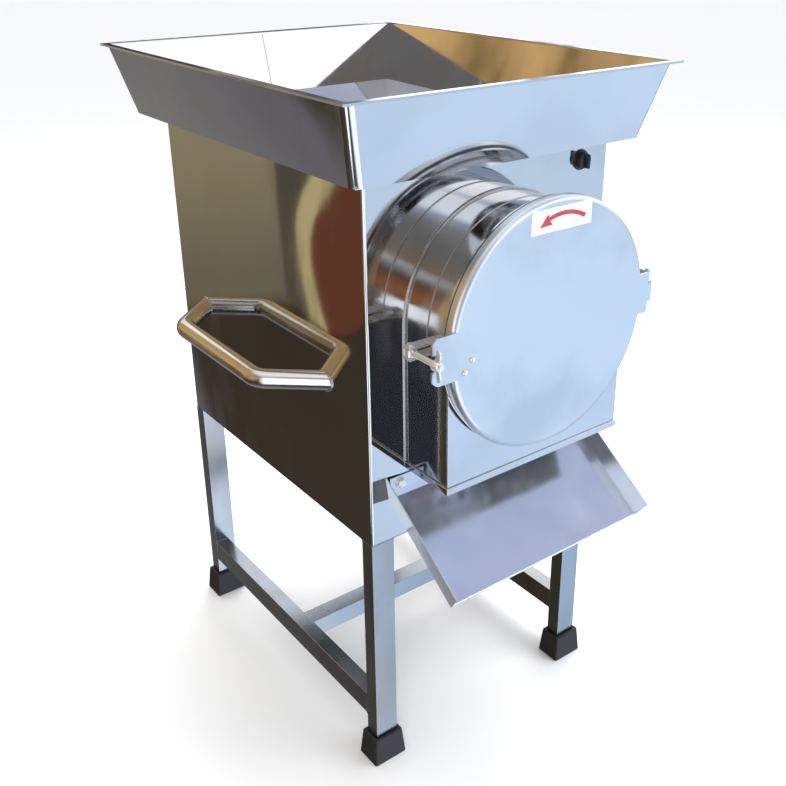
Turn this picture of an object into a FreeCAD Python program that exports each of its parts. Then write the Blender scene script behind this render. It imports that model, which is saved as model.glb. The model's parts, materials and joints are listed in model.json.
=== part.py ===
"""Fruit crusher on a four-legged stand, as a parametric FreeCAD document.

A flared hopper feeds a round crushing drum that stands out of the front of a sheet-steel body.
The drum has a hinged front cover, a square spout below it and a sloping chute under the spout.
Millimetres, +Z up.  Each piece is drawn about the body's own centre line (X = 0, Y = 0, with the
front panel towards -Y) and is then moved along Y by body_shift, so that the frame's origin is in
the middle of the whole machine's plan, on the floor.
"""
import FreeCAD
import Part
import Sketcher
import math
import os
import re

V = FreeCAD.Vector

SIZES = [
    # whole machine
    ("machine_height", 1030, "floor to the hopper's rim"),
    ("body_wide", 426, "body across, X"),
    ("body_deep", 556, "body front to back, Y"),
    ("body_tall", 523, "height of the body's walls"),
    ("sheet", 1.5, "thickness of the body's and hopper's sheet"),
    ("floor_flange", 40, "width of the body's inward bottom flange"),
    # hopper
    ("hopper_tall", 107, "body's top to the hopper's rim"),
    ("rim_overhang", 68, "hopper's rim beyond the body, each side"),
    ("skirt_overhang", 32, "foot of the hopper's walls beyond the body, each side"),
    ("rim_lip", 9, "width of the folded rim"),
    ("rim_hem", 3, "thickness of the folded rim"),
    ("pit_run", 88, "throat's rear wall to the feed floor's front edge"),
    ("pit_drop", 60, "depth of the pit between feed floor and throat"),
    ("throat_in", 42, "throat's sides inside the drum's outside"),
    ("throat_margin", 14, "throat's rear wall in front of the drum's back"),
    ("throat_set_back", 10, "throat's front wall behind the front panel"),
    ("floor_rise", 6, "feed floor's rise from the pit to the rear wall"),
    ("seam_wide", 8, "strap over the joint in the rear wall"),
    ("seam_offset", 5, "rear wall's joint to the right of the body's middle"),
    # stand
    ("leg_wide", 38, "leg tube across, X"),
    ("leg_deep", 25, "leg tube front to back, Y"),
    ("tube_wall", 1.6, "wall of the stand's tubes"),
    ("foot_tall", 46, "height of a rubber foot"),
    ("foot_base", 12, "rubber under the leg tube"),
    ("foot_spread", 10, "foot beyond the leg at the floor"),
    ("foot_collar", 6, "foot beyond the leg at the foot's top"),
    ("rail_wide", 25, "side rail across, X"),
    ("rail_tall", 38, "side rail height"),
    ("rail_floor", 79, "floor to the side rails"),
    ("cross_side", 32, "cross rail's square section"),
    ("cross_rise", 3, "cross rail's underside over the side rails' underside"),
    ("cross_set", 40, "cross rail's middle in front of the body's middle"),
    # crushing drum
    ("drum_offset", 8, "drum's middle to the right of the body's middle"),
    ("drum_drop", 205, "body's top to the drum's axis"),
    ("drum_radius", 160, "outside radius of the drum"),
    ("drum_wall", 2.5, "wall of the drum"),
    ("drum_reach", 92, "drum in front of the front panel"),
    ("drum_inside", 150, "drum behind the face of the front panel"),
    ("mouth_in", 12, "edge of the drum's front opening inside the drum's outside"),
    ("spout_drop", 50, "drum's lowest line to the spout's lower edge"),
    ("spout_lip", 10, "bright fold round the spout's lower edge"),
    ("ring_over", 12, "drum's front ring beyond the drum's outside"),
    ("ring_thick", 4, "thickness of the drum's front ring"),
    # cover
    ("cover_over", 14, "cover beyond the drum's outside"),
    ("cover_stand", 22, "cover's face in front of the drum"),
    ("cover_plate", 3, "thickness of the cover"),
    ("cover_edge", 8, "rounding of the cover's edge"),
    ("gasket_thick", 3.4, "thickness of the cover's gasket"),
    ("gasket_wide", 9, "width of the cover's gasket"),
    ("gasket_in", 1, "gasket inside the cover's edge"),
    ("seat_gap", 0.3, "clearance between the gasket and the ring"),
    ("ear_tall", 64, "height of the latch ear"),
    ("ear_root", 30, "both ears' hold on the cover's face"),
    ("latch_out", 26, "latch bolt's axis beyond the cover's edge"),
    ("notch_radius", 11, "notch in the latch ear"),
    ("hinge_out", 18, "hinge axis beyond the cover's edge"),
    ("hinge_depth", 14, "hinge axis in front of the drum"),
    ("knuckle_radius", 6, "radius of the hinge knuckles"),
    ("knuckle_tall", 16, "height of a knuckle on the drum"),
    ("hinge_tall", 60, "height of the whole hinge"),
    ("hinge_rise", 5, "hinge's middle above the drum's axis"),
    ("leaf_gap", 2, "clearance between the hinge ear and the fixed knuckles"),
    ("pin_head", 2, "head of a pin beyond the pin, radius"),
    ("pin_head_tall", 3, "height of a pin's head"),
    ("pin_seat", 1, "hinge pin's head above the upper knuckle"),
    ("pin_radius", 3, "radius of the hinge pin and the latch pin"),
    ("pin_play", 0.06, "radial clearance round a pin"),
    ("end_play", 0.5, "clearance between parts along a hinge"),
    ("bolt_radius", 4, "radius of the swing bolt"),
    ("bolt_eye", 8, "radius of the swing bolt's eye"),
    ("eye_tall", 10, "height of the swing bolt's eye"),
    ("pivot_back", 25, "latch pivot behind the drum's front"),
    ("fork_root", 12, "fork's length past the drum's widest line"),
    ("bolt_end", 3, "swing bolt beyond the wing nut"),
    ("nut_radius", 7.5, "radius of the wing nut's hub"),
    ("nut_long", 11, "length of the wing nut's hub"),
    ("wing_span", 23, "reach of a wing from the bolt's axis"),
    ("wing_thick", 4, "thickness of a wing"),
    ("nut_gap", 0.5, "clearance between the wing nut and the ear"),
    ("plate_wide", 106, "arrow plate across"),
    ("plate_tall", 31, "arrow plate height"),
    ("plate_in", 12, "arrow plate's upper edge inside the cover's edge"),
    ("plate_shift", 4, "arrow plate to the right of the drum's middle"),
    ("plate_thick", 0.6, "thickness of the arrow plate"),
    ("rivet_radius", 4, "radius of the rivets by the latch ear"),
    ("rivet_in", 22, "first rivet inside the cover's left edge"),
    ("rivet_down", 25, "first rivet below the drum's axis"),
    ("rivet_step", 12, "second rivet to the right of the first"),
    ("rivet_climb", 15, "second rivet above the first"),
    # chute
    ("chute_slope", 35.5, "slope of the chute in degrees"),
    ("chute_margin", 18.5, "chute's floor beyond the spout's lip, each side"),
    ("chute_rise", 28, "height of the chute's side walls"),
    ("chute_flare", 5, "lean of the chute's side walls at their top"),
    ("chute_reach", 140.5, "chute's front edge in front of the front panel"),
    ("chute_drop", 38, "spout's lower edge to the chute's upper end"),
    ("chute_sheet", 2, "thickness of the chute's sheet"),
    ("chute_flange", 30, "chute's flange against the front panel"),
    ("chute_bolt", 5, "radius of the chute's bolts"),
    ("chute_bolt_in", 18, "chute's bolts from its sides"),
    # carrying handles
    ("handle_radius", 14, "radius of the handle tube"),
    ("handle_wall", 1.6, "wall of the handle tube"),
    ("handle_out", 72, "handle's grip from the side panel, tube centre"),
    ("handle_centre", 10, "handle's middle behind the body's middle"),
    ("handle_foot", 182, "handle's weld from the handle's middle"),
    ("handle_grip", 118, "grip's corner from the handle's middle"),
    ("handle_bend", 32, "bend radius at the grip's corners"),
    ("handle_rise", 220, "underside of the body to the handle"),
    # crushing rotor and its drive
    ("shaft_radius", 17.5, "radius of the rotor shaft"),
    ("shaft_play", 0.06, "radial clearance of the rotor shaft"),
    ("hub_radius", 38, "radius of the rotor hub"),
    ("rotor_clear", 13, "beaters' clearance inside the screen"),
    ("rotor_gap", 12, "rotor from the drum's back plate and from the mouth"),
    ("beater_thick", 10, "thickness of a beater"),
    ("beater_deep", 28, "beater front to back"),
    ("screen_gap", 9.5, "screen inside the drum's wall"),
    ("screen_thick", 3, "thickness of the screen"),
    ("screen_hole", 9, "radius of the screen's holes"),
    ("bridge_thick", 8, "bearing bridge's plate"),
    ("bridge_deep", 150, "bearing bridge front to back"),
    ("bridge_gap", 33, "bearing bridge behind the drum's back"),
    ("bridge_rib", 5, "thickness of the bridge's two ribs"),
    ("bridge_rib_tall", 30, "height of the bridge's two ribs"),
    ("bearing_height", 48, "bearing's foot to the shaft's axis"),
    ("bearing_radius", 42, "radius of the bearing housing"),
    ("bearing_long", 40, "length of the bearing housing"),
    ("bearing_foot", 150, "bearing's foot across"),
    ("bearing_base", 14, "thickness of the bearing's foot"),
    ("bearing_in", 35, "bearing's middle from the bridge's edge"),
    ("bearing_bolt_in", 15, "bearing's bolts from its foot's ends"),
    ("foot_bolt", 6, "radius of the bearing and motor bolts"),
    ("pulley_gap", 20, "pulleys behind the bearing bridge"),
    ("pulley_long", 34, "width of the pulleys"),
    ("drum_pulley", 95, "radius of the rotor's pulley"),
    ("motor_pulley", 50, "radius of the motor's pulley"),
    ("belt_groove", 9, "depth of the belt groove"),
    ("belt_wide", 14, "width of the belt"),
    ("belt_thick", 8, "thickness of the belt"),
    ("belt_play", 0.4, "clearance between the belt and the pulleys"),
    ("bar_side", 25, "side of the two base bars"),
    ("bar_in", 20, "base bars inside the motor's ends"),
    ("motor_plate", 8, "thickness of the motor's plate"),
    ("motor_height", 90, "motor's foot to its shaft's axis"),
    ("motor_radius", 72, "radius of the motor"),
    ("motor_gap", 17, "motor's shaft end in front of the pulleys"),
    ("motor_long", 170, "motor's length without its shaft"),
    ("cowl_long", 42, "length of the motor's fan cowl"),
    ("motor_shaft", 12, "radius of the motor's shaft"),
    ("shaft_hold", 39, "motor's shaft inside the motor"),
    ("shaft_end", 1, "clearance behind the shaft inside the motor"),
    ("shaft_out", 3, "motor's shaft beyond its pulley"),
    ("foot_thick", 10, "thickness of the motor's foot"),
    ("foot_in", 10, "motor's foot inside the motor's ends"),
    ("fin_tall", 8, "cooling fins beyond the motor"),
    ("fin_thick", 2, "thickness of a cooling fin"),
    ("fin_sunk", 3, "cooling fins' hold in the motor"),
    ("fin_in", 12, "cooling fins inside the motor's ends"),
    ("box_gap", 7.6, "terminal box's inner face beyond the motor's radius"),
    ("box_wide", 38, "terminal box across"),
    ("box_deep", 64, "terminal box front to back"),
    ("box_tall", 60, "terminal box height"),
    ("box_back", 30, "terminal box behind the fan cowl"),
    ("box_round", 5, "rounding of the terminal box"),
    # rear panel, switch and cable entry
    ("panel_margin", 24, "rear opening's margin"),
    ("panel_lap", 12, "rear panel's lap over the opening"),
    ("slot_tall", 6, "height of a vent slot"),
    ("slot_long", 130, "length of a vent slot"),
    ("slot_pitch", 18, "pitch of the vent slots"),
    ("screw_radius", 5, "radius of the rear panel's screw heads"),
    ("screw_head", 3, "height of the rear panel's screw heads"),
    ("switch_in", 54, "switch inside the body's right side"),
    ("switch_drop", 26, "switch below the body's top"),
    ("switch_radius", 15, "radius of the switch's bezel"),
    ("knob_radius", 11, "radius of the switch's knob"),
    ("knob_long", 12, "length of the switch's knob"),
    ("bezel_thick", 3, "thickness of the switch's bezel"),
    ("bezel_bevel", 1, "bevel of the switch's bezel"),
    ("knob_gap", 0.3, "clearance between the knob and the bezel"),
    ("grip_wide", 5, "width of the knob's grip"),
    ("grip_out", 3, "knob's grip in front of the knob"),
    ("gland_radius", 10, "radius of the cable gland"),
    ("gland_rise", 60, "underside of the body to the cable gland"),
]

# Places worked out from the sizes, as formulas; body centre line, before body_shift.
PLACES = {
    "half_wide": "body_wide / 2",
    "half_deep": "body_deep / 2",
    "body_top": "machine_height - hopper_tall",
    "body_floor": "body_top - body_tall",
    "inner_wide": "body_wide / 2 - sheet",
    "inner_deep": "body_deep / 2 - sheet",
    "skirt_top": "machine_height - rim_hem",
    "skirt_lean": "(rim_overhang - rim_lip - skirt_overhang) / (skirt_top - body_top)",
    "skirt_skin": "sheet * sqrt(1 + skirt_lean * skirt_lean)",
    "throat_front": "0 - half_deep + throat_set_back",
    "throat_wide": "2 * (drum_radius - throat_in)",
    "throat_deep": "drum_inside - throat_set_back - throat_margin",
    "floor_end": "0 - throat_front - throat_deep - pit_run",
    "pit_floor": "body_top - pit_drop",
    "drum_centre": "body_top - drum_drop",
    "mouth_radius": "drum_radius - mouth_in",
    "ring_radius": "drum_radius + ring_over",
    "cover_radius": "drum_radius + cover_over",
    "screen_radius": "drum_radius - drum_wall - screen_gap",
    "rotor_radius": "screen_radius - screen_thick - rotor_clear",
    "spout_floor": "drum_centre - drum_radius - spout_drop",
    "drum_front": "0 - half_deep - drum_reach",
    "drum_back": "drum_inside - half_deep",
    "ring_front": "drum_front - ring_thick",
    "cover_front": "drum_front - cover_stand",
    "gasket_back": "ring_front - seat_gap",
    "gasket_front": "gasket_back - gasket_thick",
    "latch_x": "drum_offset - cover_radius - latch_out",
    "hinge_x": "drum_offset + cover_radius + hinge_out",
    "hinge_y": "drum_front - hinge_depth",
    "hinge_z": "drum_centre + hinge_rise",
    "latch_y": "drum_front + pivot_back",
    "nut_back": "cover_front - nut_gap",
    "plate_z": "drum_centre + cover_radius - plate_in",
    "mid_knuckle": "hinge_tall - 2 * knuckle_tall - 2 * end_play",
    "chute_wide": "2 * (drum_radius + drum_wall + chute_margin)",
    "chute_top": "spout_floor - chute_drop",
    "handle_height": "body_floor + handle_rise",
    "bridge_start": "0 - drum_back - bridge_gap",
    "bridge_top": "drum_centre - bearing_height",
    "pulley_start": "bridge_deep - bridge_start + pulley_gap",
    "bar_top": "body_floor + sheet + bar_side",
    "motor_foot": "bar_top + motor_plate",
    "motor_z": "motor_foot + motor_height",
    "motor_back": "pulley_start - motor_gap",
    "motor_front": "motor_long - motor_back",
    "switch_out": "half_wide - switch_in",
    "gland_height": "body_floor + gland_rise",
    "switch_z": "body_top - switch_drop",
    "body_shift": "(chute_reach + chute_rise * sin(chute_slope * 1deg) - rim_overhang) / 2",
}

doc = FreeCAD.newDocument("fruit_crusher")
sheet = doc.addObject("Spreadsheet::Sheet", "sizes")
for row, (name, value, note) in enumerate(SIZES, 1):
    sheet.set(f"A{row}", name)
    sheet.set(f"B{row}", str(value))
    sheet.set(f"C{row}", note)
    sheet.setAlias(f"B{row}", name)
doc.recompute()

ALIASES = {name for name, value, note in SIZES}
PARTS = []


def bound(text):
    """A formula with each place written out and each size's name led by the sheet's name."""
    def word(found):
        name = found.group()
        if name in PLACES:
            return "(" + bound(PLACES[name]) + ")"
        return "sizes." + name if name in ALIASES else name
    return re.sub(r"\b[a-z][a-z_]*\b", word, str(text))


def number(text):
    """What a formula comes to with the sheet's present values."""
    return float(sheet.evalExpression(bound(text)))


def bind(thing, **texts):
    """Tie properties to formulas; x, y and z are the placement's base."""
    for name, text in texts.items():
        path = "Placement.Base." + name if name in "xyz" else name
        thing.setExpression(path, bound(text))
    return thing


TURNS = {
    "x": FreeCAD.Rotation(V(0, 1, 0), 90),
    "y": FreeCAD.Rotation(V(1, 0, 0), -90),
    "z": FreeCAD.Rotation(),
}


def block(x, y, z, long, wide, tall):
    """A box from its lowest corner and its lengths along X, Y and Z."""
    thing = doc.addObject("Part::Box", "block")
    return bind(thing, x=x, y=y, z=z, Length=long, Width=wide, Height=tall)


def rod(axis, x, y, z, radius, long):
    """A cylinder from the middle of its lower end, along an axis."""
    thing = doc.addObject("Part::Cylinder", "rod")
    thing.Placement.Rotation = TURNS[axis]
    return bind(thing, x=x, y=y, z=z, Radius=radius, Height=long)


def cone(axis, x, y, z, start, end, long):
    """A cone from the middle of its lower end, with its two radii."""
    thing = doc.addObject("Part::Cone", "cone")
    thing.Placement.Rotation = TURNS[axis]
    return bind(thing, x=x, y=y, z=z, Radius1=start, Radius2=end, Height=long)


def frustum(low, high):
    """A four-sided funnel form between two level rectangles (x0, x1, y0, y1, z)."""
    thing = doc.addObject("Part::Wedge", "frustum")
    thing.Placement.Rotation = FreeCAD.Rotation(V(1, 0, 0), 90)
    return bind(thing, Xmin=low[0], Xmax=low[1], Zmin=f"0 - ({low[3]})", Zmax=f"0 - ({low[2]})",
                Ymin=low[4], X2min=high[0], X2max=high[1], Z2min=f"0 - ({high[3]})",
                Z2max=f"0 - ({high[2]})", Ymax=high[4])


def fuse(*things):
    """One solid from several."""
    thing = doc.addObject("Part::MultiFuse", "fused")
    thing.Shapes = list(things)
    return thing


def cut(base, *tools):
    """A solid less one or more others."""
    thing = doc.addObject("Part::Cut", "cut")
    thing.Base = base
    thing.Tool = tools[0] if len(tools) == 1 else fuse(*tools)
    return thing


def common(*things):
    """What several solids share."""
    thing = doc.addObject("Part::MultiCommon", "shared")
    thing.Shapes = list(things)
    return thing


def rounded(base, radius, chosen):
    """Fillets on the edges for which chosen(edge) is true."""
    doc.recompute()
    thing = doc.addObject("Part::Fillet", "rounded")
    thing.Base = base
    size = number(radius)
    thing.Edges = [(i, size, size) for i, edge in enumerate(base.Shape.Edges, 1) if chosen(edge)]
    return thing


def part(label, *solids):
    """A named sub-part from one or more finished solids, shifted to the frame."""
    thing = doc.addObject("Part::Compound", label)
    thing.Links = list(solids)
    thing.Label = label
    bind(thing, y="body_shift")
    PARTS.append(thing)
    return thing


def drawn(label, shape):
    """A named sub-part whose shape is made by Part's own functions."""
    thing = doc.addObject("Part::Feature", label)
    thing.Shape = shape
    thing.Label = label
    bind(thing, y="body_shift")
    PARTS.append(thing)
    return thing


def sketch_on(body, role, points, offset="0"):
    """A closed outline of straight runs on one of a body's origin planes, each corner bound."""
    sketch = body.newObject("Sketcher::SketchObject", "outline")
    plane = [one for one in body.Origin.OriginFeatures if one.Role == role][0]
    sketch.AttachmentSupport = [(plane, "")]
    sketch.MapMode = "FlatFace"
    sketch.setExpression("AttachmentOffset.Base.z", bound(offset))
    spots = [V(number(a), number(b), 0) for a, b in points]
    for here, there in zip(spots, spots[1:] + spots[:1]):
        sketch.addGeometry(Part.LineSegment(here, there), False)
    count = len(points)
    for i, (a, b) in enumerate(points):
        sketch.addConstraint(Sketcher.Constraint("Coincident", i, 2, (i + 1) % count, 1))
        for kind, text, value in (("DistanceX", a, spots[i].x), ("DistanceY", b, spots[i].y)):
            spot = sketch.addConstraint(Sketcher.Constraint(kind, -1, 1, i, 1, value))
            sketch.setExpression(f"Constraints[{spot}]", bound(text))
    return sketch


def turned(label, profile, x, y, z, along="y"):
    """A turned piece: a profile of (distance along, radius) spun round a line along an axis."""
    body = doc.addObject("PartDesign::Body", label)
    body.Label = label
    sketch = sketch_on(body, "XY_Plane", profile)
    spin = body.newObject("PartDesign::Revolution", "spin")
    spin.Profile = sketch
    spin.ReferenceAxis = (sketch, ["H_Axis"])
    spin.Angle = 360
    body.Placement.Rotation = {"y": FreeCAD.Rotation(V(0, 0, 1), 90),
                               "z": FreeCAD.Rotation(V(0, 1, 0), -90)}[along]
    bind(body, x=x, y=f"{y} + body_shift", z=z)
    PARTS.append(body)
    return body


def extruded(label, points, x0, long, shifted=True):
    """A bar along X whose section is an outline of (y, z) corners."""
    body = doc.addObject("PartDesign::Body", label)
    body.Label = label
    sketch = sketch_on(body, "YZ_Plane", points, x0)
    pad = body.newObject("PartDesign::Pad", "pad")
    pad.Profile = sketch
    pad.setExpression("Length", bound(long))
    if shifted:
        bind(body, y="body_shift")
        PARTS.append(body)
    return body


# ---------------------------------------------------------------- stand

def leg_and_foot(side_x, side_y, name):
    """A leg tube under a corner of the body, with its rubber foot."""
    x = "0 - half_wide" if side_x < 0 else "half_wide - leg_wide"
    y = "0 - half_deep" if side_y < 0 else "half_deep - leg_deep"
    tall = "body_floor - foot_base"
    tube = block(x, y, "foot_base", "leg_wide", "leg_deep", tall)
    bore = block(f"{x} + tube_wall", f"{y} + tube_wall", "foot_base",
                 "leg_wide - 2 * tube_wall", "leg_deep - 2 * tube_wall", tall)
    part(f"leg_{name}", cut(tube, bore))

    def edges(spread):
        return (f"{x} - {spread}", f"{x} + leg_wide + {spread}",
                f"{y} - {spread}", f"{y} + leg_deep + {spread}")
    form = frustum((*edges("foot_spread"), "0"), (*edges("foot_collar"), "foot_tall"))
    socket = block(x, y, "foot_base", "leg_wide", "leg_deep", "foot_tall")
    upright = rounded(form, "foot_collar / 2", lambda edge: abs(edge.tangentAt(0).z) > 0.5)
    part(f"foot_{name}", cut(upright, socket))


def side_rail(side, name):
    """A low rail between the front and the rear leg of one side."""
    x = "0 - half_wide" if side < 0 else "half_wide - rail_wide"
    y = "leg_deep - half_deep"
    long = "body_deep - 2 * leg_deep"
    tube = block(x, y, "rail_floor", "rail_wide", long, "rail_tall")
    bore = block(f"{x} + tube_wall", y, "rail_floor + tube_wall", "rail_wide - 2 * tube_wall",
                 long, "rail_tall - 2 * tube_wall")
    part(f"side_rail_{name}", cut(tube, bore))


def cross_rail():
    """The square tube that joins the two side rails."""
    x, long = "rail_wide - half_wide", "body_wide - 2 * rail_wide"
    y, z = "0 - cross_set - cross_side / 2", "rail_floor + cross_rise"
    tube = block(x, y, z, long, "cross_side", "cross_side")
    inside = "cross_side - 2 * tube_wall"
    bore = block(x, f"{y} + tube_wall", f"{z} + tube_wall", long, inside, inside)
    part("cross_rail", cut(tube, bore))


for sx, side in ((-1, "left"), (1, "right")):
    for sy, end in ((-1, "front"), (1, "rear")):
        leg_and_foot(sx, sy, f"{end}_{side}")
    side_rail(sx, side)
cross_rail()


# ---------------------------------------------------------------- body

def body_shell():
    """The box: four walls and an inward bottom flange, open above and at the rear."""
    outer = block("0 - half_wide", "0 - half_deep", "body_floor", "body_wide", "body_deep",
                  "body_tall")
    inner = block("0 - inner_wide", "0 - inner_deep", "body_floor + sheet", "2 * inner_wide",
                  "2 * inner_deep", "body_tall")
    well = block("floor_flange - half_wide", "floor_flange - half_deep", "body_floor",
                 "body_wide - 2 * floor_flange", "body_deep - 2 * floor_flange", "sheet")
    rear = block("panel_margin - half_wide", "inner_deep", "body_floor + panel_margin",
                 "body_wide - 2 * panel_margin", "sheet", "body_tall - 2 * panel_margin")
    drum_hole = rod("y", "drum_offset", "0 - half_deep", "drum_centre", "drum_radius", "sheet")
    part("body_shell", cut(outer, inner, well, rear, drum_hole))


def rear_panel():
    """The cover of the rear opening, with rows of vent slots, and its screws."""
    x = "panel_margin - panel_lap - half_wide"
    z = "body_floor + panel_margin - panel_lap"
    wide = "body_wide - 2 * panel_margin + 2 * panel_lap"
    tall = "body_tall - 2 * panel_margin + 2 * panel_lap"
    plate = block(x, "half_deep", z, wide, "sheet", tall)
    slots = []
    for column in (-1, 1):
        for row in range(8):
            middle = f"{column} * (slot_long / 2 + slot_pitch)"
            slots.append(block(f"{middle} - slot_long / 2", "half_deep",
                               f"body_floor + body_tall / 2 + {row - 3.5} * slot_pitch",
                               "slot_long", "sheet", "slot_tall"))
    entry = rod("y", "half_wide - 3 * panel_margin", "half_deep", "gland_height",
                "gland_radius * 0.7", "sheet")
    part("rear_panel", cut(plate, *slots, entry))

    heads = []
    edge = "panel_lap / 2"
    for sx in (-1, 1):
        for level in (0, 0.5, 1):
            heads.append(rod("y", f"{sx} * (half_wide - panel_margin + {edge})",
                             "half_deep + sheet",
                             f"{z} + {edge} + {level} * ({tall} - 2 * {edge})",
                             "screw_radius", "screw_head"))
    part("rear_panel_screws", *heads)

    nut = rod("y", "half_wide - 3 * panel_margin", "half_deep + sheet", "gland_height",
              "gland_radius", "gland_radius")
    stem = rod("y", "half_wide - 3 * panel_margin", "half_deep - gland_radius", "gland_height",
               "gland_radius * 0.7", "gland_radius * 2.6")
    bore = rod("y", "half_wide - 3 * panel_margin", "half_deep - gland_radius", "gland_height",
               "gland_radius * 0.4", "gland_radius * 4")
    part("cable_gland", cut(fuse(nut, stem), bore))


body_shell()
rear_panel()


# ---------------------------------------------------------------- hopper

def skirt_form(inset, low_z, high_z):
    """The hopper's form, inset from its outer faces, between two heights."""
    def level(z):
        out = f"(skirt_overhang + ({z} - body_top) * skirt_lean - {inset})"
        return (f"0 - half_wide - {out}", f"half_wide + {out}",
                f"0 - half_deep - {out}", f"half_deep + {out}", z)
    return frustum(level(low_z), level(high_z))


def hopper():
    """Four leaning walls on a level shelf, with the rim folded outwards."""
    walls = cut(skirt_form("0", "body_top", "skirt_top"),
                skirt_form("skirt_skin", "body_top", "skirt_top"))
    rim_x, rim_y = "half_wide + rim_overhang", "half_deep + rim_overhang"
    rim = block(f"0 - ({rim_x})", f"0 - ({rim_y})", "skirt_top", f"2 * ({rim_x})",
                f"2 * ({rim_y})", "rim_hem")
    mouth_x, mouth_y = f"{rim_x} - rim_lip - skirt_skin", f"{rim_y} - rim_lip - skirt_skin"
    mouth = block(f"0 - ({mouth_x})", f"0 - ({mouth_y})", "skirt_top", f"2 * ({mouth_x})",
                  f"2 * ({mouth_y})", "rim_hem")
    part("hopper_walls", fuse(walls, cut(rim, mouth)))

    shelf = skirt_form("skirt_skin", "body_top", "body_top + sheet")
    well = block("0 - inner_wide", "0 - inner_deep", "body_top", "2 * inner_wide",
                 "2 * inner_deep", "sheet")
    part("hopper_shelf", cut(shelf, well))


def feed_floor():
    """The floor that falls from the rear wall to the pit, and the strap over the wall's joint."""
    def wall_y(z):
        return f"half_deep + skirt_overhang + ({z} - body_top) * skirt_lean - skirt_skin"
    low_y, foot_z, sheet_z = "0 - floor_end", "body_top + sheet", "sheet * 1.05"
    rear_y, rear_z = wall_y("skirt_top"), f"{foot_z} + {sheet_z} + floor_rise"
    plate = extruded("floor_section", [(rear_y, f"{rear_z} - {sheet_z}"), (rear_y, rear_z),
                                       (low_y, f"{foot_z} + {sheet_z}"), (low_y, foot_z)],
                     "0 - half_wide - rim_overhang", "2 * (half_wide + rim_overhang)", False)
    room = skirt_form("skirt_skin", foot_z, "skirt_top")
    part("feed_floor", common(plate, room))

    strap = extruded("strap_section",
                     [(f"{wall_y('skirt_top')} - sheet", "skirt_top"),
                      (f"{wall_y('skirt_top')} + sheet", "skirt_top"),
                      (f"{wall_y(rear_z)} + sheet", rear_z),
                      (f"{wall_y(rear_z)} - sheet", rear_z)],
                     "seam_offset - seam_wide / 2", "seam_wide", False)
    part("wall_strap", common(strap, skirt_form("skirt_skin", foot_z, "skirt_top")))


def throat_pit():
    """The pit's sloping sides and the throat that leads into the top of the drum."""
    left, right = "drum_offset - throat_wide / 2", "drum_offset + throat_wide / 2"
    near, far = "throat_front", "throat_front + throat_deep"
    top = ("0 - inner_wide", "inner_wide", "0 - inner_deep", "0 - floor_end", "body_top")
    outer = frustum((left, right, near, far, "pit_floor"), top)
    skin = "sheet * 1.4"
    inner = frustum((f"{left} + sheet", f"{right} - sheet", f"{near} + sheet", f"{far} - sheet",
                     "pit_floor"),
                    (f"0 - inner_wide + {skin}", f"inner_wide - {skin}",
                     "0 - inner_deep + sheet", f"0 - floor_end - {skin}", "body_top"))
    neck = block(left, near, "drum_centre", "throat_wide", "throat_deep",
                 "pit_floor - drum_centre")
    bore = block(f"{left} + sheet", f"{near} + sheet", "drum_centre", "throat_wide - 2 * sheet",
                 "throat_deep - 2 * sheet", "pit_floor - drum_centre")
    drum = rod("y", "drum_offset", "drum_front", "drum_centre", "drum_radius",
               "drum_back - drum_front")
    part("throat_pit", cut(fuse(cut(outer, inner), cut(neck, bore)), drum))


hopper()
feed_floor()
throat_pit()


# ---------------------------------------------------------------- crushing drum

def drum_form(inset, front, back, floor):
    """The drum's round-topped form: a cylinder with a square spout below it, front to back."""
    radius = f"drum_radius - {inset}"
    barrel = rod("y", "drum_offset", front, "drum_centre", radius, f"{back} - ({front})")
    spout = block(f"drum_offset - ({radius})", front, floor, f"2 * ({radius})",
                  f"{back} - ({front})", f"drum_centre - ({floor})")
    return fuse(barrel, spout)


def drum_shell():
    """The drum's front plate with its round mouth, and the wall with the open spout."""
    front = "drum_front + drum_wall"
    plate = drum_form("0", "drum_front", front, "spout_floor")
    mouth = rod("y", "drum_offset", "drum_front", "drum_centre", "mouth_radius", "drum_wall")
    part("drum_front_plate", cut(plate, mouth))

    outer = drum_form("0", front, "0 - half_deep", "spout_floor")
    rear = rod("y", "drum_offset", "0 - half_deep", "drum_centre", "drum_radius",
               "drum_back + half_deep")
    bore = rod("y", "drum_offset", front, "drum_centre", "drum_radius - drum_wall",
               "drum_back - drum_front")
    chest = block("drum_offset - drum_radius + drum_wall", front, "spout_floor",
                  "2 * (drum_radius - drum_wall)", "drum_reach - 2 * drum_wall",
                  "drum_centre - spout_floor")
    throat = block("drum_offset - throat_wide / 2 + sheet", "throat_front + sheet",
                   "drum_centre", "throat_wide - 2 * sheet", "throat_deep - 2 * sheet",
                   "drum_radius")
    part("drum_shell", cut(fuse(outer, rear), bore, chest, throat))

    half = "drum_radius + drum_wall"
    wide = f"drum_offset - ({half})"
    lip = block(wide, "drum_front - drum_wall", "spout_floor", f"2 * ({half})",
                "drum_reach + drum_wall", "spout_lip")
    room = block("drum_offset - drum_radius", "drum_front", "spout_floor", "2 * drum_radius",
                 "drum_reach", "spout_lip")
    part("spout_lip", cut(lip, room))


def drum_ring():
    """The machined ring that the cover's gasket closes on."""
    face = "ring_front"
    part("drum_ring", cut(rod("y", "drum_offset", face, "drum_centre", "ring_radius",
                              "ring_thick"),
                          rod("y", "drum_offset", face, "drum_centre", "mouth_radius",
                              "ring_thick")))


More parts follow.
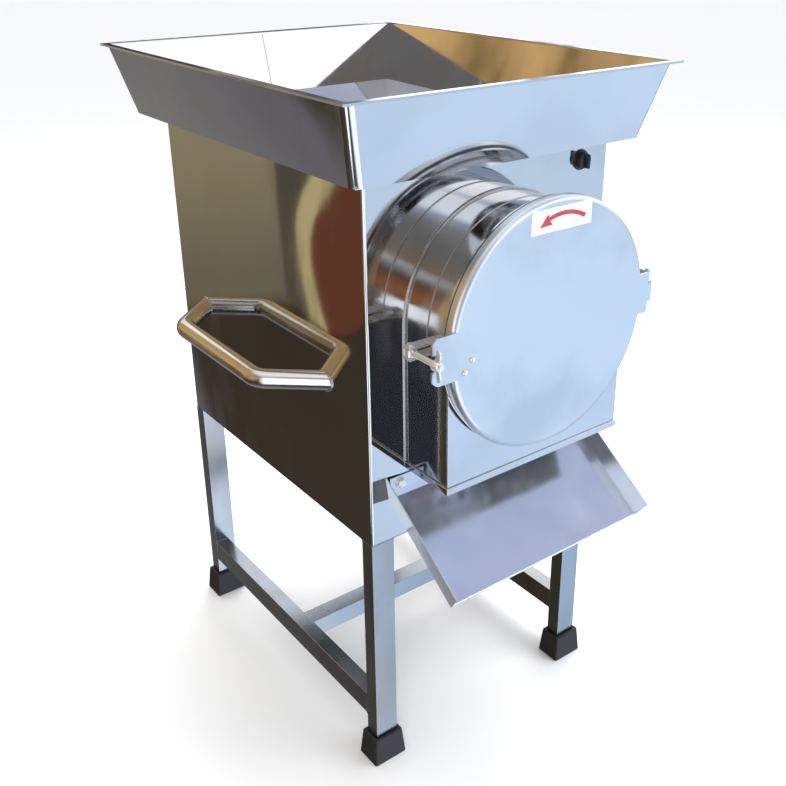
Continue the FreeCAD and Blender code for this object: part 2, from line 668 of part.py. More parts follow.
def drum_back():
    """The drum's back plate with the shaft's seal."""
    radius = "drum_radius - drum_wall"
    plate = rod("y", "drum_offset", "drum_back - drum_wall", "drum_centre", radius, "drum_wall")
    hole = rod("y", "drum_offset", "drum_back - drum_wall", "drum_centre", "hub_radius",
               "drum_wall")
    part("drum_back_plate", cut(plate, hole))
    seal = rod("y", "drum_offset", "drum_back - drum_wall", "drum_centre", "hub_radius",
               "3 * drum_wall")
    bore = rod("y", "drum_offset", "drum_back - drum_wall", "drum_centre",
               "shaft_radius + shaft_play", "3 * drum_wall")
    part("shaft_seal", cut(seal, bore))


def screen():
    """The half-round screen under the rotor, with rows of round holes."""
    front, long = "drum_front + drum_wall", "drum_reach - 2 * drum_wall"
    sleeve = cut(rod("y", "drum_offset", front, "drum_centre", "screen_radius", long),
                 rod("y", "drum_offset", front, "drum_centre", "screen_radius - screen_thick",
                     long))
    lower = block("drum_offset - screen_radius", front, "drum_centre - screen_radius",
                  "2 * screen_radius", long, "screen_radius")
    seat = "drum_radius - drum_wall - screen_radius + screen_thick / 2"
    flanges = [block(f"drum_offset + {x}", front, "drum_centre - screen_thick", seat, long,
                     "screen_thick")
               for x in ("screen_radius - screen_thick / 2", "drum_wall - drum_radius")]
    holes = []
    reach, middle = number("screen_radius") + 2, V(number("drum_offset"), 0,
                                                   number("drum_centre"))
    for row in range(3):
        y = number(f"{front} + ({row} + 0.5) * ({long}) / 3")
        for turn in range(-6, 7):
            angle = math.radians(turn * 12 + (row % 2) * 6 - 90)
            way = V(math.cos(angle), 0, math.sin(angle))
            start = middle + V(0, y, 0) + way * (reach - number("screen_thick") - 8)
            holes.append(Part.makeCylinder(number("screen_hole"), 14, start, way))
    doc.recompute()
    half = common(sleeve, lower)
    doc.recompute()
    solid = half.Shape.cut(holes)
    doc.recompute()
    for one in flanges:
        solid = solid.fuse(one.Shape)
    for used in (half, sleeve, lower, *flanges):
        used.Visibility = False
    drawn("screen", solid.removeSplitter())


drum_shell()
drum_ring()
drum_back()
screen()


# ---------------------------------------------------------------- cover, hinge and latch

def cover():
    """The dished cover with its latch ear on the left and its hinge ear on the right."""
    face, depth = "cover_front", "gasket_front - cover_front"
    disc = rod("y", "drum_offset", face, "drum_centre", "cover_radius", depth)
    edge = rounded(disc, "cover_edge",
                   lambda e: len(e.Vertexes) == 1 and e.CenterOfMass.y < number(face) + 0.1)
    hollow = rod("y", "drum_offset", f"{face} + cover_plate", "drum_centre",
                 "cover_radius - 2 * cover_plate", depth)
    ear_z = "drum_centre - ear_tall / 2"
    ear = block("latch_x - bolt_radius", face, ear_z, "latch_out + ear_root", "cover_plate",
                "ear_tall")
    upright = rounded(ear, "ear_tall * 0.2", lambda e: abs(e.tangentAt(0).y) > 0.9
                      and e.CenterOfMass.x < number("latch_x"))
    notch = rod("y", "latch_x", face, "drum_centre", "notch_radius", "cover_plate")
    slot = block("latch_x - notch_radius", face, "drum_centre - notch_radius",
                 "notch_radius", "cover_plate", "2 * notch_radius")
    leaf_x = "drum_offset + cover_radius - ear_root"
    leaf = block(leaf_x, face, "hinge_z - hinge_tall / 2",
                 f"hinge_x - knuckle_radius - leaf_gap - ({leaf_x})", "cover_plate", "hinge_tall")
    low = "hinge_z - mid_knuckle / 2"
    neck = block(leaf_x, face, low, f"hinge_x - ({leaf_x})", "cover_plate", "mid_knuckle")
    web = block("hinge_x - knuckle_radius", face, low, "knuckle_radius",
                "hinge_y - cover_front", "mid_knuckle")
    barrel = rod("z", "hinge_x", "hinge_y", low, "knuckle_radius", "mid_knuckle")
    bore = rod("z", "hinge_x", "hinge_y", low, "pin_radius + pin_play", "mid_knuckle")
    dish = cut(fuse(edge, cut(upright, notch, slot), leaf, neck, web, barrel), hollow, bore)
    part("cover_dish", dish)

    ring = rod("y", "drum_offset", "gasket_front", "drum_centre", "cover_radius - gasket_in",
               "gasket_thick")
    room = rod("y", "drum_offset", "gasket_front", "drum_centre",
               "cover_radius - gasket_in - gasket_wide", "gasket_thick")
    part("cover_gasket", cut(ring, room))

    part("arrow_plate", block("drum_offset + plate_shift - plate_wide / 2", "cover_front - plate_thick",
                              "plate_z - plate_tall", "plate_wide", "plate_thick",
                              "plate_tall"))
    rivets = []
    for along, down in (("rivet_in", "rivet_down"),
                        ("rivet_in + rivet_step", "rivet_down - rivet_climb")):
        rivet = doc.addObject("Part::Sphere", "rivet")
        rivet.Angle1 = 0
        rivet.Placement.Rotation = FreeCAD.Rotation(V(1, 0, 0), 90)
        rivets.append(bind(rivet, x=f"drum_offset - cover_radius + {along}", y="cover_front",
                           z=f"drum_centre - ({down})", Radius="rivet_radius"))
    part("cover_rivets", *rivets)


def hinge():
    """The two fixed knuckles on the drum's ring, and the pin through all three."""
    tabs = []
    for low in ("hinge_z - hinge_tall / 2", "hinge_z + hinge_tall / 2 - knuckle_tall"):
        barrel = rod("z", "hinge_x", "hinge_y", low, "knuckle_radius", "knuckle_tall")
        web = block("hinge_x - knuckle_radius", "hinge_y", low, "2 * knuckle_radius",
                    "drum_front - hinge_y", "knuckle_tall")
        arm = block("drum_offset + drum_radius * 0.97", "drum_front", low,
                    "hinge_x + knuckle_radius - drum_offset - drum_radius * 0.97",
                    "2 * ring_thick", "knuckle_tall")
        bore = rod("z", "hinge_x", "hinge_y", low, "pin_radius", "knuckle_tall")
        drum = drum_form("0", "drum_front", "0 - half_deep", "spout_floor")
        tabs.append(cut(fuse(barrel, web, arm), bore, drum))
    part("hinge_lugs", *tabs)
    part("hinge_pin", fuse(rod("z", "hinge_x", "hinge_y", "hinge_z - hinge_tall / 2",
                               "pin_radius", "hinge_tall + pin_seat"),
                           rod("z", "hinge_x", "hinge_y", "hinge_z + hinge_tall / 2",
                               "pin_radius + pin_head", "pin_head_tall")))


def latch():
    """The fork on the drum's left side, its pin, the swing bolt and the wing nut."""
    cheeks = []
    gap = "(eye_tall / 2 + end_play)"
    drum_side = "drum_offset - drum_radius"
    for low in (f"drum_centre + {gap}", f"drum_centre - {gap} - cover_plate"):
        tongue = block("latch_x - bolt_eye", "latch_y - bolt_eye", low,
                       f"{drum_side} + fork_root - (latch_x - bolt_eye)", "2 * bolt_eye",
                       "cover_plate")
        drum = drum_form("0", "drum_front", "0 - half_deep", "spout_floor")
        hole = rod("z", "latch_x", "latch_y", low, "pin_radius", "cover_plate")
        cheeks.append(cut(tongue, drum, hole))
    part("latch_fork", *cheeks)
    reach = f"({gap} + cover_plate)"
    part("latch_pin", fuse(rod("z", "latch_x", "latch_y", f"drum_centre - {reach}",
                               "pin_radius", f"2 * {reach}"),
                           rod("z", "latch_x", "latch_y", f"drum_centre + {reach}",
                               "pin_radius + pin_head", "pin_head_tall")))
    eye = rod("z", "latch_x", "latch_y", "drum_centre - eye_tall / 2", "bolt_eye", "eye_tall")
    shank = rod("y", "latch_x", "nut_back - nut_long - bolt_end", "drum_centre", "bolt_radius",
                "latch_y - nut_back + nut_long + bolt_end")
    bore = rod("z", "latch_x", "latch_y", "drum_centre - eye_tall / 2", "pin_radius + pin_play",
               "eye_tall")
    part("swing_bolt", cut(fuse(eye, shank), bore))

    hub = cone("y", "latch_x", "nut_back - nut_long", "drum_centre", "nut_radius * 0.8",
               "nut_radius", "nut_long")
    wings = []
    for side in (-1, 1):
        low = f"drum_centre + {side} * (nut_radius * 0.4 + wing_span) / 2"
        span = "(wing_span - nut_radius * 0.4)"
        wings.append(rounded(block("latch_x - wing_thick / 2", "nut_back - 1.3 * nut_long",
                                   f"{low} - {span} / 2", "wing_thick", "1.3 * nut_long", span),
                             "nut_long * 0.45",
                             lambda e, s=side: abs(e.tangentAt(0).x) > 0.9
                             and s * (e.CenterOfMass.z - number("drum_centre"))
                             > number("nut_radius")))
    bore = rod("y", "latch_x", "nut_back - 2 * nut_long", "drum_centre",
               "bolt_radius + pin_play", "3 * nut_long")
    part("wing_nut", cut(fuse(hub, *wings), bore))


cover()
hinge()
latch()


# ---------------------------------------------------------------- chute

def chute():
    """A folded tray: floor and leaning sides down the slope, and a flange on the front panel."""
    slope = math.radians(number("chute_slope"))
    half, rise, lean = number("chute_wide / 2"), number("chute_rise"), number("chute_flare")
    skin, panel = number("chute_sheet"), -number("half_deep")
    reach, top = number("chute_reach"), number("chute_top")
    down = V(0, -math.cos(slope), -math.sin(slope))
    up = V(0, -math.sin(slope), math.cos(slope))
    across = V(1, 0, 0)
    start = V(0, panel, top) - down * (2 * rise)
    section = [(-half - lean, rise), (-half, 0), (half, 0), (half + lean, rise),
               (half + lean + skin, rise), (half + skin, -skin), (-half - skin, -skin),
               (-half - lean - skin, rise)]
    wire = Part.makePolygon([start + across * a + up * b for a, b in section + section[:1]])
    long = reach / math.cos(slope) + 2 * rise
    tray = Part.Face(wire).extrude(down * long)
    behind = Part.makeBox(4 * half, 6 * rise, 1000, V(-2 * half, panel, 0))
    tray = tray.cut(behind)
    under = skin / math.cos(slope)
    flange = Part.makeBox(2 * half, skin, number("chute_flange") + under,
                          V(-half, panel - skin, top - under))
    rests = [(side * (half - number("chute_bolt_in")), top + number("chute_flange * 0.6"))
             for side in (-1, 1)]
    tray = tray.fuse(flange).removeSplitter()
    drawn("chute_tray", tray)
    heads = [Part.makeCylinder(number("chute_bolt"), number("chute_bolt"),
                               V(x, panel - skin, z), V(0, -1, 0)) for x, z in rests]
    washers = [Part.makeCylinder(number("chute_bolt * 1.7"), 1.2, V(x, panel - skin, z),
                                 V(0, -1, 0)) for x, z in rests]
    drawn("chute_bolts", Part.makeCompound([a.fuse(b) for a, b in zip(heads, washers)]))


chute()


# ---------------------------------------------------------------- carrying handles

def handle(side, name):
    """A bent tube: a straight grip with a leg splayed back to the side panel at each end."""
    face = side * number("half_wide")
    out = face + side * number("handle_out")
    middle, z = number("handle_centre"), number("handle_height")
    bend, radius = number("handle_bend"), number("handle_radius")
    spread = number("(handle_foot - handle_grip) / handle_out")
    sunk = 2 * radius
    foot, grip = number("handle_foot") + sunk * spread, number("handle_grip")
    corners = [V(face - side * sunk, middle - foot, z), V(out, middle - grip, z),
               V(out, middle + grip, z), V(face - side * sunk, middle + foot, z)]

    def ring(spot, way):
        """The tube's section: a round face with a round hole."""
        outer, inner = (Part.Face(Part.Wire(Part.makeCircle(size, spot, way)))
                        for size in (radius, radius - number("handle_wall")))
        return outer.cut(inner)

    runs, last = [], corners[0]
    for before, corner, after in zip(corners, corners[1:], corners[2:]):
        to_last, to_next = (before - corner).normalize(), (after - corner).normalize()
        half = to_last.getAngle(to_next) / 2
        first = corner + to_last * (bend / math.tan(half))
        centre = corner + (to_last + to_next).normalize() * (bend / math.sin(half))
        runs.append(ring(last, first - last).extrude(first - last))
        axis = to_last.cross(to_next) * -1
        turn = 180 - math.degrees(2 * half)
        runs.append(ring(first, to_last).revolve(centre, axis, turn))
        last = corner + to_next * (bend / math.tan(half))
    runs.append(ring(last, corners[3] - last).extrude(corners[3] - last))
    tube = runs[0].multiFuse(runs[1:]).removeSplitter()
    wide = 4 * radius
    inside = Part.makeBox(wide, 4 * foot, wide, V(face - (wide if side > 0 else 0),
                                                  middle - 2 * foot, z - wide / 2))
    drawn(f"handle_{name}", tube.cut(inside))


handle(-1, "left")
handle(1, "right")


# ---------------------------------------------------------------- rotor

def rotor():
    """The shaft, the hub with its four rows of beaters, and the pulley behind."""
    front = "drum_front + rotor_gap"
    back = "pulley_start + pulley_long + 4"
    turned("rotor_shaft", [("0", "0"), ("0", "shaft_radius"),
                           (f"{back} - ({front})", "shaft_radius"),
                           (f"{back} - ({front})", "0")],
           "drum_offset", front, "drum_centre")
    long = f"drum_back - drum_wall - rotor_gap - ({front})"
    hub = rod("y", "drum_offset", front, "drum_centre", "hub_radius", long)
    bore = rod("y", "drum_offset", front, "drum_centre", "shaft_radius", long)
    beaters = []
    rows = 6
    for row in range(rows):
        y = f"{front} + ({row} + 0.5) * ({long}) / {rows} - beater_deep / 2"
        for side in (-1, 1):
            if row % 2:
                reach = ("drum_offset", f"drum_centre + {side} * rotor_radius / 2")
                beaters.append(block(f"{reach[0]} - beater_thick / 2", y,
                                     f"{reach[1]} - rotor_radius / 2", "beater_thick",
                                     "beater_deep", "rotor_radius"))
            else:
                beaters.append(block(f"drum_offset + {side} * rotor_radius / 2"
                                     " - rotor_radius / 2", y,
                                     "drum_centre - beater_thick / 2", "rotor_radius",
                                     "beater_deep", "beater_thick"))
    part("rotor_beaters", cut(fuse(hub, *beaters), bore))


def pulley(label, radius, bore, x, z):
    """A V-belt pulley: a turned rim with a groove, on its shaft."""
    middle, half = "pulley_long / 2", "belt_wide / 2"
    turned(label, [("0", bore), ("0", radius), (f"{middle} - {half} - 1", radius),
                   (f"{middle} - {half} * 0.6", f"{radius} - belt_groove"),
                   (f"{middle} + {half} * 0.6", f"{radius} - belt_groove"),
                   (f"{middle} + {half} + 1", radius), ("pulley_long", radius),
                   ("pulley_long", bore)], x, "pulley_start", z)


def bearings():
    """Two pillow blocks on a bridge plate between the body's side walls."""
    blocks, bolts = [], []
    for middle in ("bearing_in - bridge_start", "bridge_deep - bridge_start - bearing_in"):
        y = f"{middle} - bearing_long / 2"
        foot = block("drum_offset - bearing_foot / 2", y, "bridge_top", "bearing_foot",
                     "bearing_long", "bearing_base")
        housing = rod("y", "drum_offset", y, "drum_centre", "bearing_radius", "bearing_long")
        web = block("drum_offset - bearing_radius", y, "bridge_top", "2 * bearing_radius",
                    "bearing_long", "bearing_height")
        bore = rod("y", "drum_offset", y, "drum_centre", "shaft_radius + shaft_play",
                   "bearing_long")
        blocks.append(cut(fuse(foot, housing, web), bore))
        for side in (-1, 1):
            bolts.append(rod("z", f"drum_offset + {side} * (bearing_foot / 2 - bearing_bolt_in)",
                             middle, "bridge_top + bearing_base", "foot_bolt * 1.7", "foot_bolt * 1.4"))
    part("bearing_blocks", *blocks)
    part("bearing_bolts", *bolts)
    low = "bridge_top - bridge_thick"
    plate = block("0 - inner_wide", "0 - bridge_start", low, "2 * inner_wide", "bridge_deep",
                  "bridge_thick")
    sides = [block("0 - inner_wide", y, f"{low} - bridge_rib_tall", "2 * inner_wide",
                   "bridge_rib", "bridge_rib_tall")
             for y in ("0 - bridge_start", "bridge_deep - bridge_start - bridge_rib")]
    part("bearing_bridge", fuse(plate, *sides))


def motor():
    """The foot-mounted motor on its plate and base bars, with its shaft."""
    x, z, front, back = "drum_offset", "motor_z", "0 - motor_front", "motor_back"
    part("base_bars", *[block("0 - inner_wide", y, "body_floor + sheet", "2 * inner_wide",
                              "bar_side", "bar_side")
                        for y in ("bar_in - motor_front", "motor_back - bar_in - bar_side")])
    part("motor_plate", block("drum_offset - motor_radius * 1.4", front, "bar_top",
                              "motor_radius * 2.8", "motor_long", "motor_plate"))
    stator = rod("y", x, f"{front} + cowl_long", z, "motor_radius", "motor_long - cowl_long")
    foot = block(f"{x} - motor_radius * 1.1", "cowl_long + foot_in - motor_front", "motor_foot",
                 "motor_radius * 2.2", "motor_long - cowl_long - 2 * foot_in", "foot_thick")
    pedestal = block(f"{x} - motor_radius * 0.6", "cowl_long + 2 * foot_in - motor_front",
                     "motor_foot", "motor_radius * 1.2",
                     "motor_long - cowl_long - 4 * foot_in", "motor_height")
    fins = []
    for turn in range(24):
        angle = math.radians(turn * 15 + 7.5)
        if math.sin(angle) > -0.6:
            fin = doc.addObject("Part::Box", "fin")
            fin.Placement.Rotation = FreeCAD.Rotation(V(0, 1, 0), -math.degrees(angle))
            way = f"{math.cos(angle):.6f}", f"{math.sin(angle):.6f}"
            bind(fin,
                 x=f"{x} + {way[0]} * (motor_radius - fin_sunk) + {way[1]} * fin_thick / 2",
                 y=f"{front} + cowl_long + fin_in",
                 z=f"{z} + {way[1]} * (motor_radius - fin_sunk) - {way[0]} * fin_thick / 2",
                 Length="fin_tall + fin_sunk", Width="motor_long - cowl_long - 2 * fin_in",
                 Height="fin_thick")
            fins.append(fin)
    bore = rod("y", x, f"{back} - shaft_hold - shaft_end", z, "motor_shaft + shaft_play",
               "motor_long")
    part("motor_frame", cut(fuse(stator, foot, pedestal, *fins), bore))
    part("motor_cowl", cone("y", x, front, z, "motor_radius * 0.9", "motor_radius * 1.08",
                            "cowl_long"))
    box = block(f"{x} + motor_radius + box_gap", "cowl_long + box_back - motor_front",
                f"{z} - box_tall / 2", "box_wide", "box_deep", "box_tall")
    part("terminal_box", rounded(box, "box_round", lambda e: True))
    bolts = []
    for sx in (-1, 1):
        for y in ("cowl_long + 2.5 * foot_in - motor_front", "motor_back - 2.5 * foot_in"):
            bolts.append(rod("z", f"{x} + {sx} * motor_radius * 0.95", y, "motor_foot + foot_thick",
                             "foot_bolt", "foot_bolt * 1.2"))
    part("motor_bolts", *bolts)
    long = "(pulley_start + pulley_long + shaft_out - motor_back + shaft_hold)"
    turned("motor_shaft_rod", [("0", "0"), ("0", "motor_shaft"), (long, "motor_shaft"),
                               (long, "0")], x, "motor_back - shaft_hold", z)


def belt():
    """The closed V-belt round the two pulleys, standing just clear of their grooves."""
    low_r = number("motor_pulley - belt_groove + belt_play")
    high_r = number("drum_pulley - belt_groove + belt_play")
    low, high = number("motor_z"), number("drum_centre")
    x, thick = number("drum_offset"), number("belt_thick")
    lean = math.asin((high_r - low_r) / (high - low))

    def loop(extra):
        """Two arcs and their outer tangents."""
        spots = []
        for z, radius in ((high, high_r + extra), (low, low_r + extra)):
            for side in (-1, 1):
                spots.append(V(x + side * radius * math.cos(lean), 0,
                               z - radius * math.sin(lean)))
        top_l, top_r, low_l, low_r_spot = spots
        return Part.Wire([
            Part.Arc(top_l, V(x, 0, high + high_r + extra), top_r).toShape(),
            Part.makeLine(top_r, low_r_spot),
            Part.Arc(low_r_spot, V(x, 0, low - low_r - extra), low_l).toShape(),
            Part.makeLine(low_l, top_l)])
    wide = number("belt_wide * 0.55")
    start = number("pulley_start + pulley_long / 2") - wide / 2
    ring = Part.Face(loop(thick)).cut(Part.Face(loop(0)))
    ring.translate(V(0, start, 0))
    drawn("drive_belt", ring.extrude(V(0, wide, 0)).Solids[0])


rotor()
pulley("rotor_pulley", "drum_pulley", "shaft_radius", "drum_offset", "drum_centre")
bearings()
motor()
pulley("motor_pulley_wheel", "motor_pulley", "motor_shaft", "drum_offset", "motor_z")
belt()


# ---------------------------------------------------------------- switch

def switch():
    """The round switch under the hopper's front overhang, and its knob."""
    face = "0 - half_deep"
    turned("switch_bezel", [("0", "0"), ("0", "switch_radius - bezel_bevel"),
                            ("bezel_thick", "switch_radius"), ("bezel_thick", "0")],
           "switch_out", f"{face} - bezel_thick", "switch_z")
    knob = cone("y", "switch_out", f"{face} - bezel_thick - knob_gap - knob_long", "switch_z",
                "knob_radius * 0.85", "knob_radius", "knob_long")
    grip = block("switch_out - grip_wide / 2", f"{face} - bezel_thick - knob_gap - knob_long"
                 " - grip_out", "switch_z - knob_radius", "grip_wide", "knob_long",
                 "2 * knob_radius")
    part("switch_knob", fuse(knob, grip))


switch()


# ---------------------------------------------------------------- check and write

doc.recompute()
for thing in doc.Objects:
    if {"Invalid", "Error"} & set(thing.State):
        raise RuntimeError(f"{thing.Name} ({thing.Label}) did not compute: {thing.State}")
for thing in PARTS:
    if thing.Shape.isNull() or not thing.Shape.isValid() or not thing.Shape.Solids:
        raise RuntimeError(f"{thing.Label} has no valid solid")

os.makedirs("parts", exist_ok=True)
for thing in PARTS:
    thing.Shape.exportStep(f"parts/{thing.Label}.step")
    box = thing.Shape.optimalBoundingBox(False)
    print(f"{thing.Label:20s} {len(thing.Shape.Solids):3d}  "
          f"x {box.XMin:8.2f} {box.XMax:8.2f}  y {box.YMin:8.2f} {box.YMax:8.2f}  "
          f"z {box.ZMin:8.2f} {box.ZMax:8.2f}  {thing.Shape.Volume / 1000:10.2f} cm3")
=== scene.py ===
import json
import math

import bmesh
import bpy
import numpy as np
from mathutils import Matrix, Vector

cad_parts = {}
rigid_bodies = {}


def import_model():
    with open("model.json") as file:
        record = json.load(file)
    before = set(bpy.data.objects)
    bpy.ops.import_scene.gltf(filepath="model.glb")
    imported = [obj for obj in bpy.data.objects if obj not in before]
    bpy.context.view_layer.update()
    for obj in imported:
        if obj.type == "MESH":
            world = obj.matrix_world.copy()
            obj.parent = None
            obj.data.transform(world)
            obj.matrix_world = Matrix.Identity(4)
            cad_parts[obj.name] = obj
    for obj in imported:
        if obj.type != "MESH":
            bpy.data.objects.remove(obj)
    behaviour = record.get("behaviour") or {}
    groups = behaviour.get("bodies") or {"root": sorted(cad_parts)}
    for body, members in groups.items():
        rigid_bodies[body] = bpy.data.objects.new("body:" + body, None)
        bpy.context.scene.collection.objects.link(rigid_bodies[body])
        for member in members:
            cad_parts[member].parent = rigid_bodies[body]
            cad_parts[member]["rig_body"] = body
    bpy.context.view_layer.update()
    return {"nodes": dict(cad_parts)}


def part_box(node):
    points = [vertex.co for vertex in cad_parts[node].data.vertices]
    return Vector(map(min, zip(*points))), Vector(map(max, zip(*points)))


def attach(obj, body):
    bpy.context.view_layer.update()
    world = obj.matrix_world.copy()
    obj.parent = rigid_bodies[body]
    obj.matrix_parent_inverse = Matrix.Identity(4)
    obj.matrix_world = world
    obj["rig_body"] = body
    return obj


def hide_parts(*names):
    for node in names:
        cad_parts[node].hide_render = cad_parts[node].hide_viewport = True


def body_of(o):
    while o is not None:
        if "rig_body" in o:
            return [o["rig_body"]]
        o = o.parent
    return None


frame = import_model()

NODES = frame["nodes"]
MM = 0.001


def corners(node):
    """A CAD node's lowest and highest corner, in metres, as two arrays."""
    low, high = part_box(node)
    return np.array(low), np.array(high)


# ------------------------------------------------------------------ camera and stage

CAMERA_SPOT = (-0.8617, -1.1986, 1.2148)
CAMERA_TURN, CAMERA_TILT, CAMERA_ROLL = 37.6, 23.585, -0.084
CAMERA_SENSOR, CAMERA_LENS = 36, 45.31
CAMERA_SHIFT = (-0.0407, -0.0594)


def placed(side, up, back, spot):
    """The matrix that stands an object at a spot, with its three axes given."""
    return Matrix([[side[i], up[i], back[i], spot[i]] for i in range(3)] + [[0, 0, 0, 1]])


def make_camera():
    """The camera stands to the left of the cover, above the hopper, and looks down at the drum."""
    turn, tilt, roll = map(math.radians, (CAMERA_TURN, CAMERA_TILT, CAMERA_ROLL))
    look = np.array([math.sin(turn) * math.cos(tilt), math.cos(turn) * math.cos(tilt),
                     -math.sin(tilt)])
    side = np.cross(look, [0, 0, 1])
    side /= np.linalg.norm(side)
    rise = np.cross(side, look)
    right = side * math.cos(roll) + rise * math.sin(roll)
    up = rise * math.cos(roll) - side * math.sin(roll)
    lens = bpy.data.cameras.new("camera")
    lens.sensor_width, lens.lens = CAMERA_SENSOR, CAMERA_LENS
    lens.shift_x, lens.shift_y = CAMERA_SHIFT
    lens.clip_start, lens.clip_end = 0.01, 200
    camera = bpy.data.objects.new("camera", lens)
    bpy.context.scene.collection.objects.link(camera)
    camera.matrix_world = placed(right, up, -look, CAMERA_SPOT)
    bpy.context.scene.camera = camera


class Shader:
    """A node tree, cleared, with short ways to add and join nodes."""

    def __init__(self, tree):
        self.tree = tree
        tree.nodes.clear()

    def node(self, kind, **values):
        made = self.tree.nodes.new(kind)
        for name, value in values.items():
            setattr(made, name, value)
        return made

    def join(self, source, target):
        self.tree.links.new(source, target)

    def feed(self, socket, value):
        """Join a socket, or set it when the value is plain."""
        if isinstance(value, bpy.types.NodeSocket):
            self.join(value, socket)
        elif value is not None:
            socket.default_value = value

    def math(self, operation, a, b=None, c=None, clamp=False):
        made = self.node("ShaderNodeMath", operation=operation, use_clamp=clamp)
        for socket, value in zip(made.inputs, (a, b, c)):
            self.feed(socket, value)
        return made.outputs[0]

    def smooth(self, value, low, high):
        """0 below low, 1 above high, and a smooth step between."""
        made = self.node("ShaderNodeMapRange", interpolation_type="SMOOTHSTEP")
        for socket, given in zip(made.inputs, (value, low, high, 0.0, 1.0)):
            self.feed(socket, given)
        return made.outputs[0]

    def mix(self, share, a, b, blend="MIX"):
        made = self.node("ShaderNodeMix", data_type="RGBA", blend_type=blend)
        self.feed(made.inputs[0], share)
        self.feed(made.inputs[6], a)
        self.feed(made.inputs[7], b)
        return made.outputs[2]

    def ramp(self, value, stops):
        made = self.node("ShaderNodeValToRGB")
        made.color_ramp.interpolation = "EASE"
        while len(made.color_ramp.elements) < len(stops):
            made.color_ramp.elements.new(0.5)
        for element, (place, colour) in zip(made.color_ramp.elements, stops):
            element.position = place
            element.color = (*colour, 1)
        self.feed(made.inputs[0], value)
        return made.outputs[0]


def shader_for(owner):
    """The shader of a material or a world."""
    owner.use_nodes = True
    return Shader(owner.node_tree)


# What the steel mirrors on each side of the room, from straight down at 0 to straight up at 1.
ROOM = {
    "front_right": [(0.0, (0.50, 0.68, 0.92)), (0.30, (0.80, 1.0, 1.28)),
                    (0.46, (0.66, 0.82, 1.02)), (0.56, (0.9, 1.0, 1.1)),
                    (0.61, (1.7, 1.75, 1.8)), (0.74, (1.7, 1.75, 1.8)),
                    (0.80, (0.60, 0.66, 0.85)), (0.90, (0.42, 0.48, 0.72)),
                    (1.0, (0.8, 0.85, 1.0))],
    "pale_rear": [(0.0, (0.5, 0.6, 0.7)), (0.40, (0.45, 0.42, 0.36)), (0.50, (0.9, 0.85, 0.8)),
                  (0.54, (1.7, 1.75, 1.8)), (1.0, (1.7, 1.75, 1.8))],
    "dim_rear": [(0.0, (0.35, 0.40, 0.46)), (0.45, (0.16, 0.15, 0.15)),
                 (0.54, (0.15, 0.15, 0.20)), (0.60, (0.30, 0.30, 0.36)),
                 (0.68, (1.2, 1.2, 1.25)), (1.0, (1.6, 1.65, 1.7))],
    "front_left": [(0.0, (0.10, 0.11, 0.12)), (0.30, (0.035, 0.040, 0.048)),
                   (0.44, (0.16, 0.075, 0.04)), (0.50, (0.50, 0.17, 0.05)),
                   (0.58, (0.22, 0.11, 0.05)), (0.64, (0.9, 0.9, 0.9)),
                   (0.68, (0.34, 0.24, 0.15)), (0.78, (0.26, 0.25, 0.24)),
                   (0.95, (1.2, 1.25, 1.3))],
    "rear_left": [(0.0, (0.24, 0.22, 0.20)), (0.20, (0.06, 0.048, 0.034)),
                  (0.318, (0.052, 0.040, 0.025)), (0.328, (0.20, 0.165, 0.105)),
                  (0.40, (0.32, 0.265, 0.165)), (0.55, (0.85, 0.52, 0.20)),
                  (0.70, (0.62, 0.42, 0.20)), (0.84, (0.50, 0.38, 0.22)),
                  (0.92, (1.1, 1.1, 1.1))],
}


def world_noise(s, way, scale, detail):
    """Soft noise over the directions of the room."""
    made = s.node("ShaderNodeTexNoise")
    made.inputs["Scale"].default_value = scale
    made.inputs["Detail"].default_value = detail
    s.join(way, made.inputs["Vector"])
    return made.outputs[0]


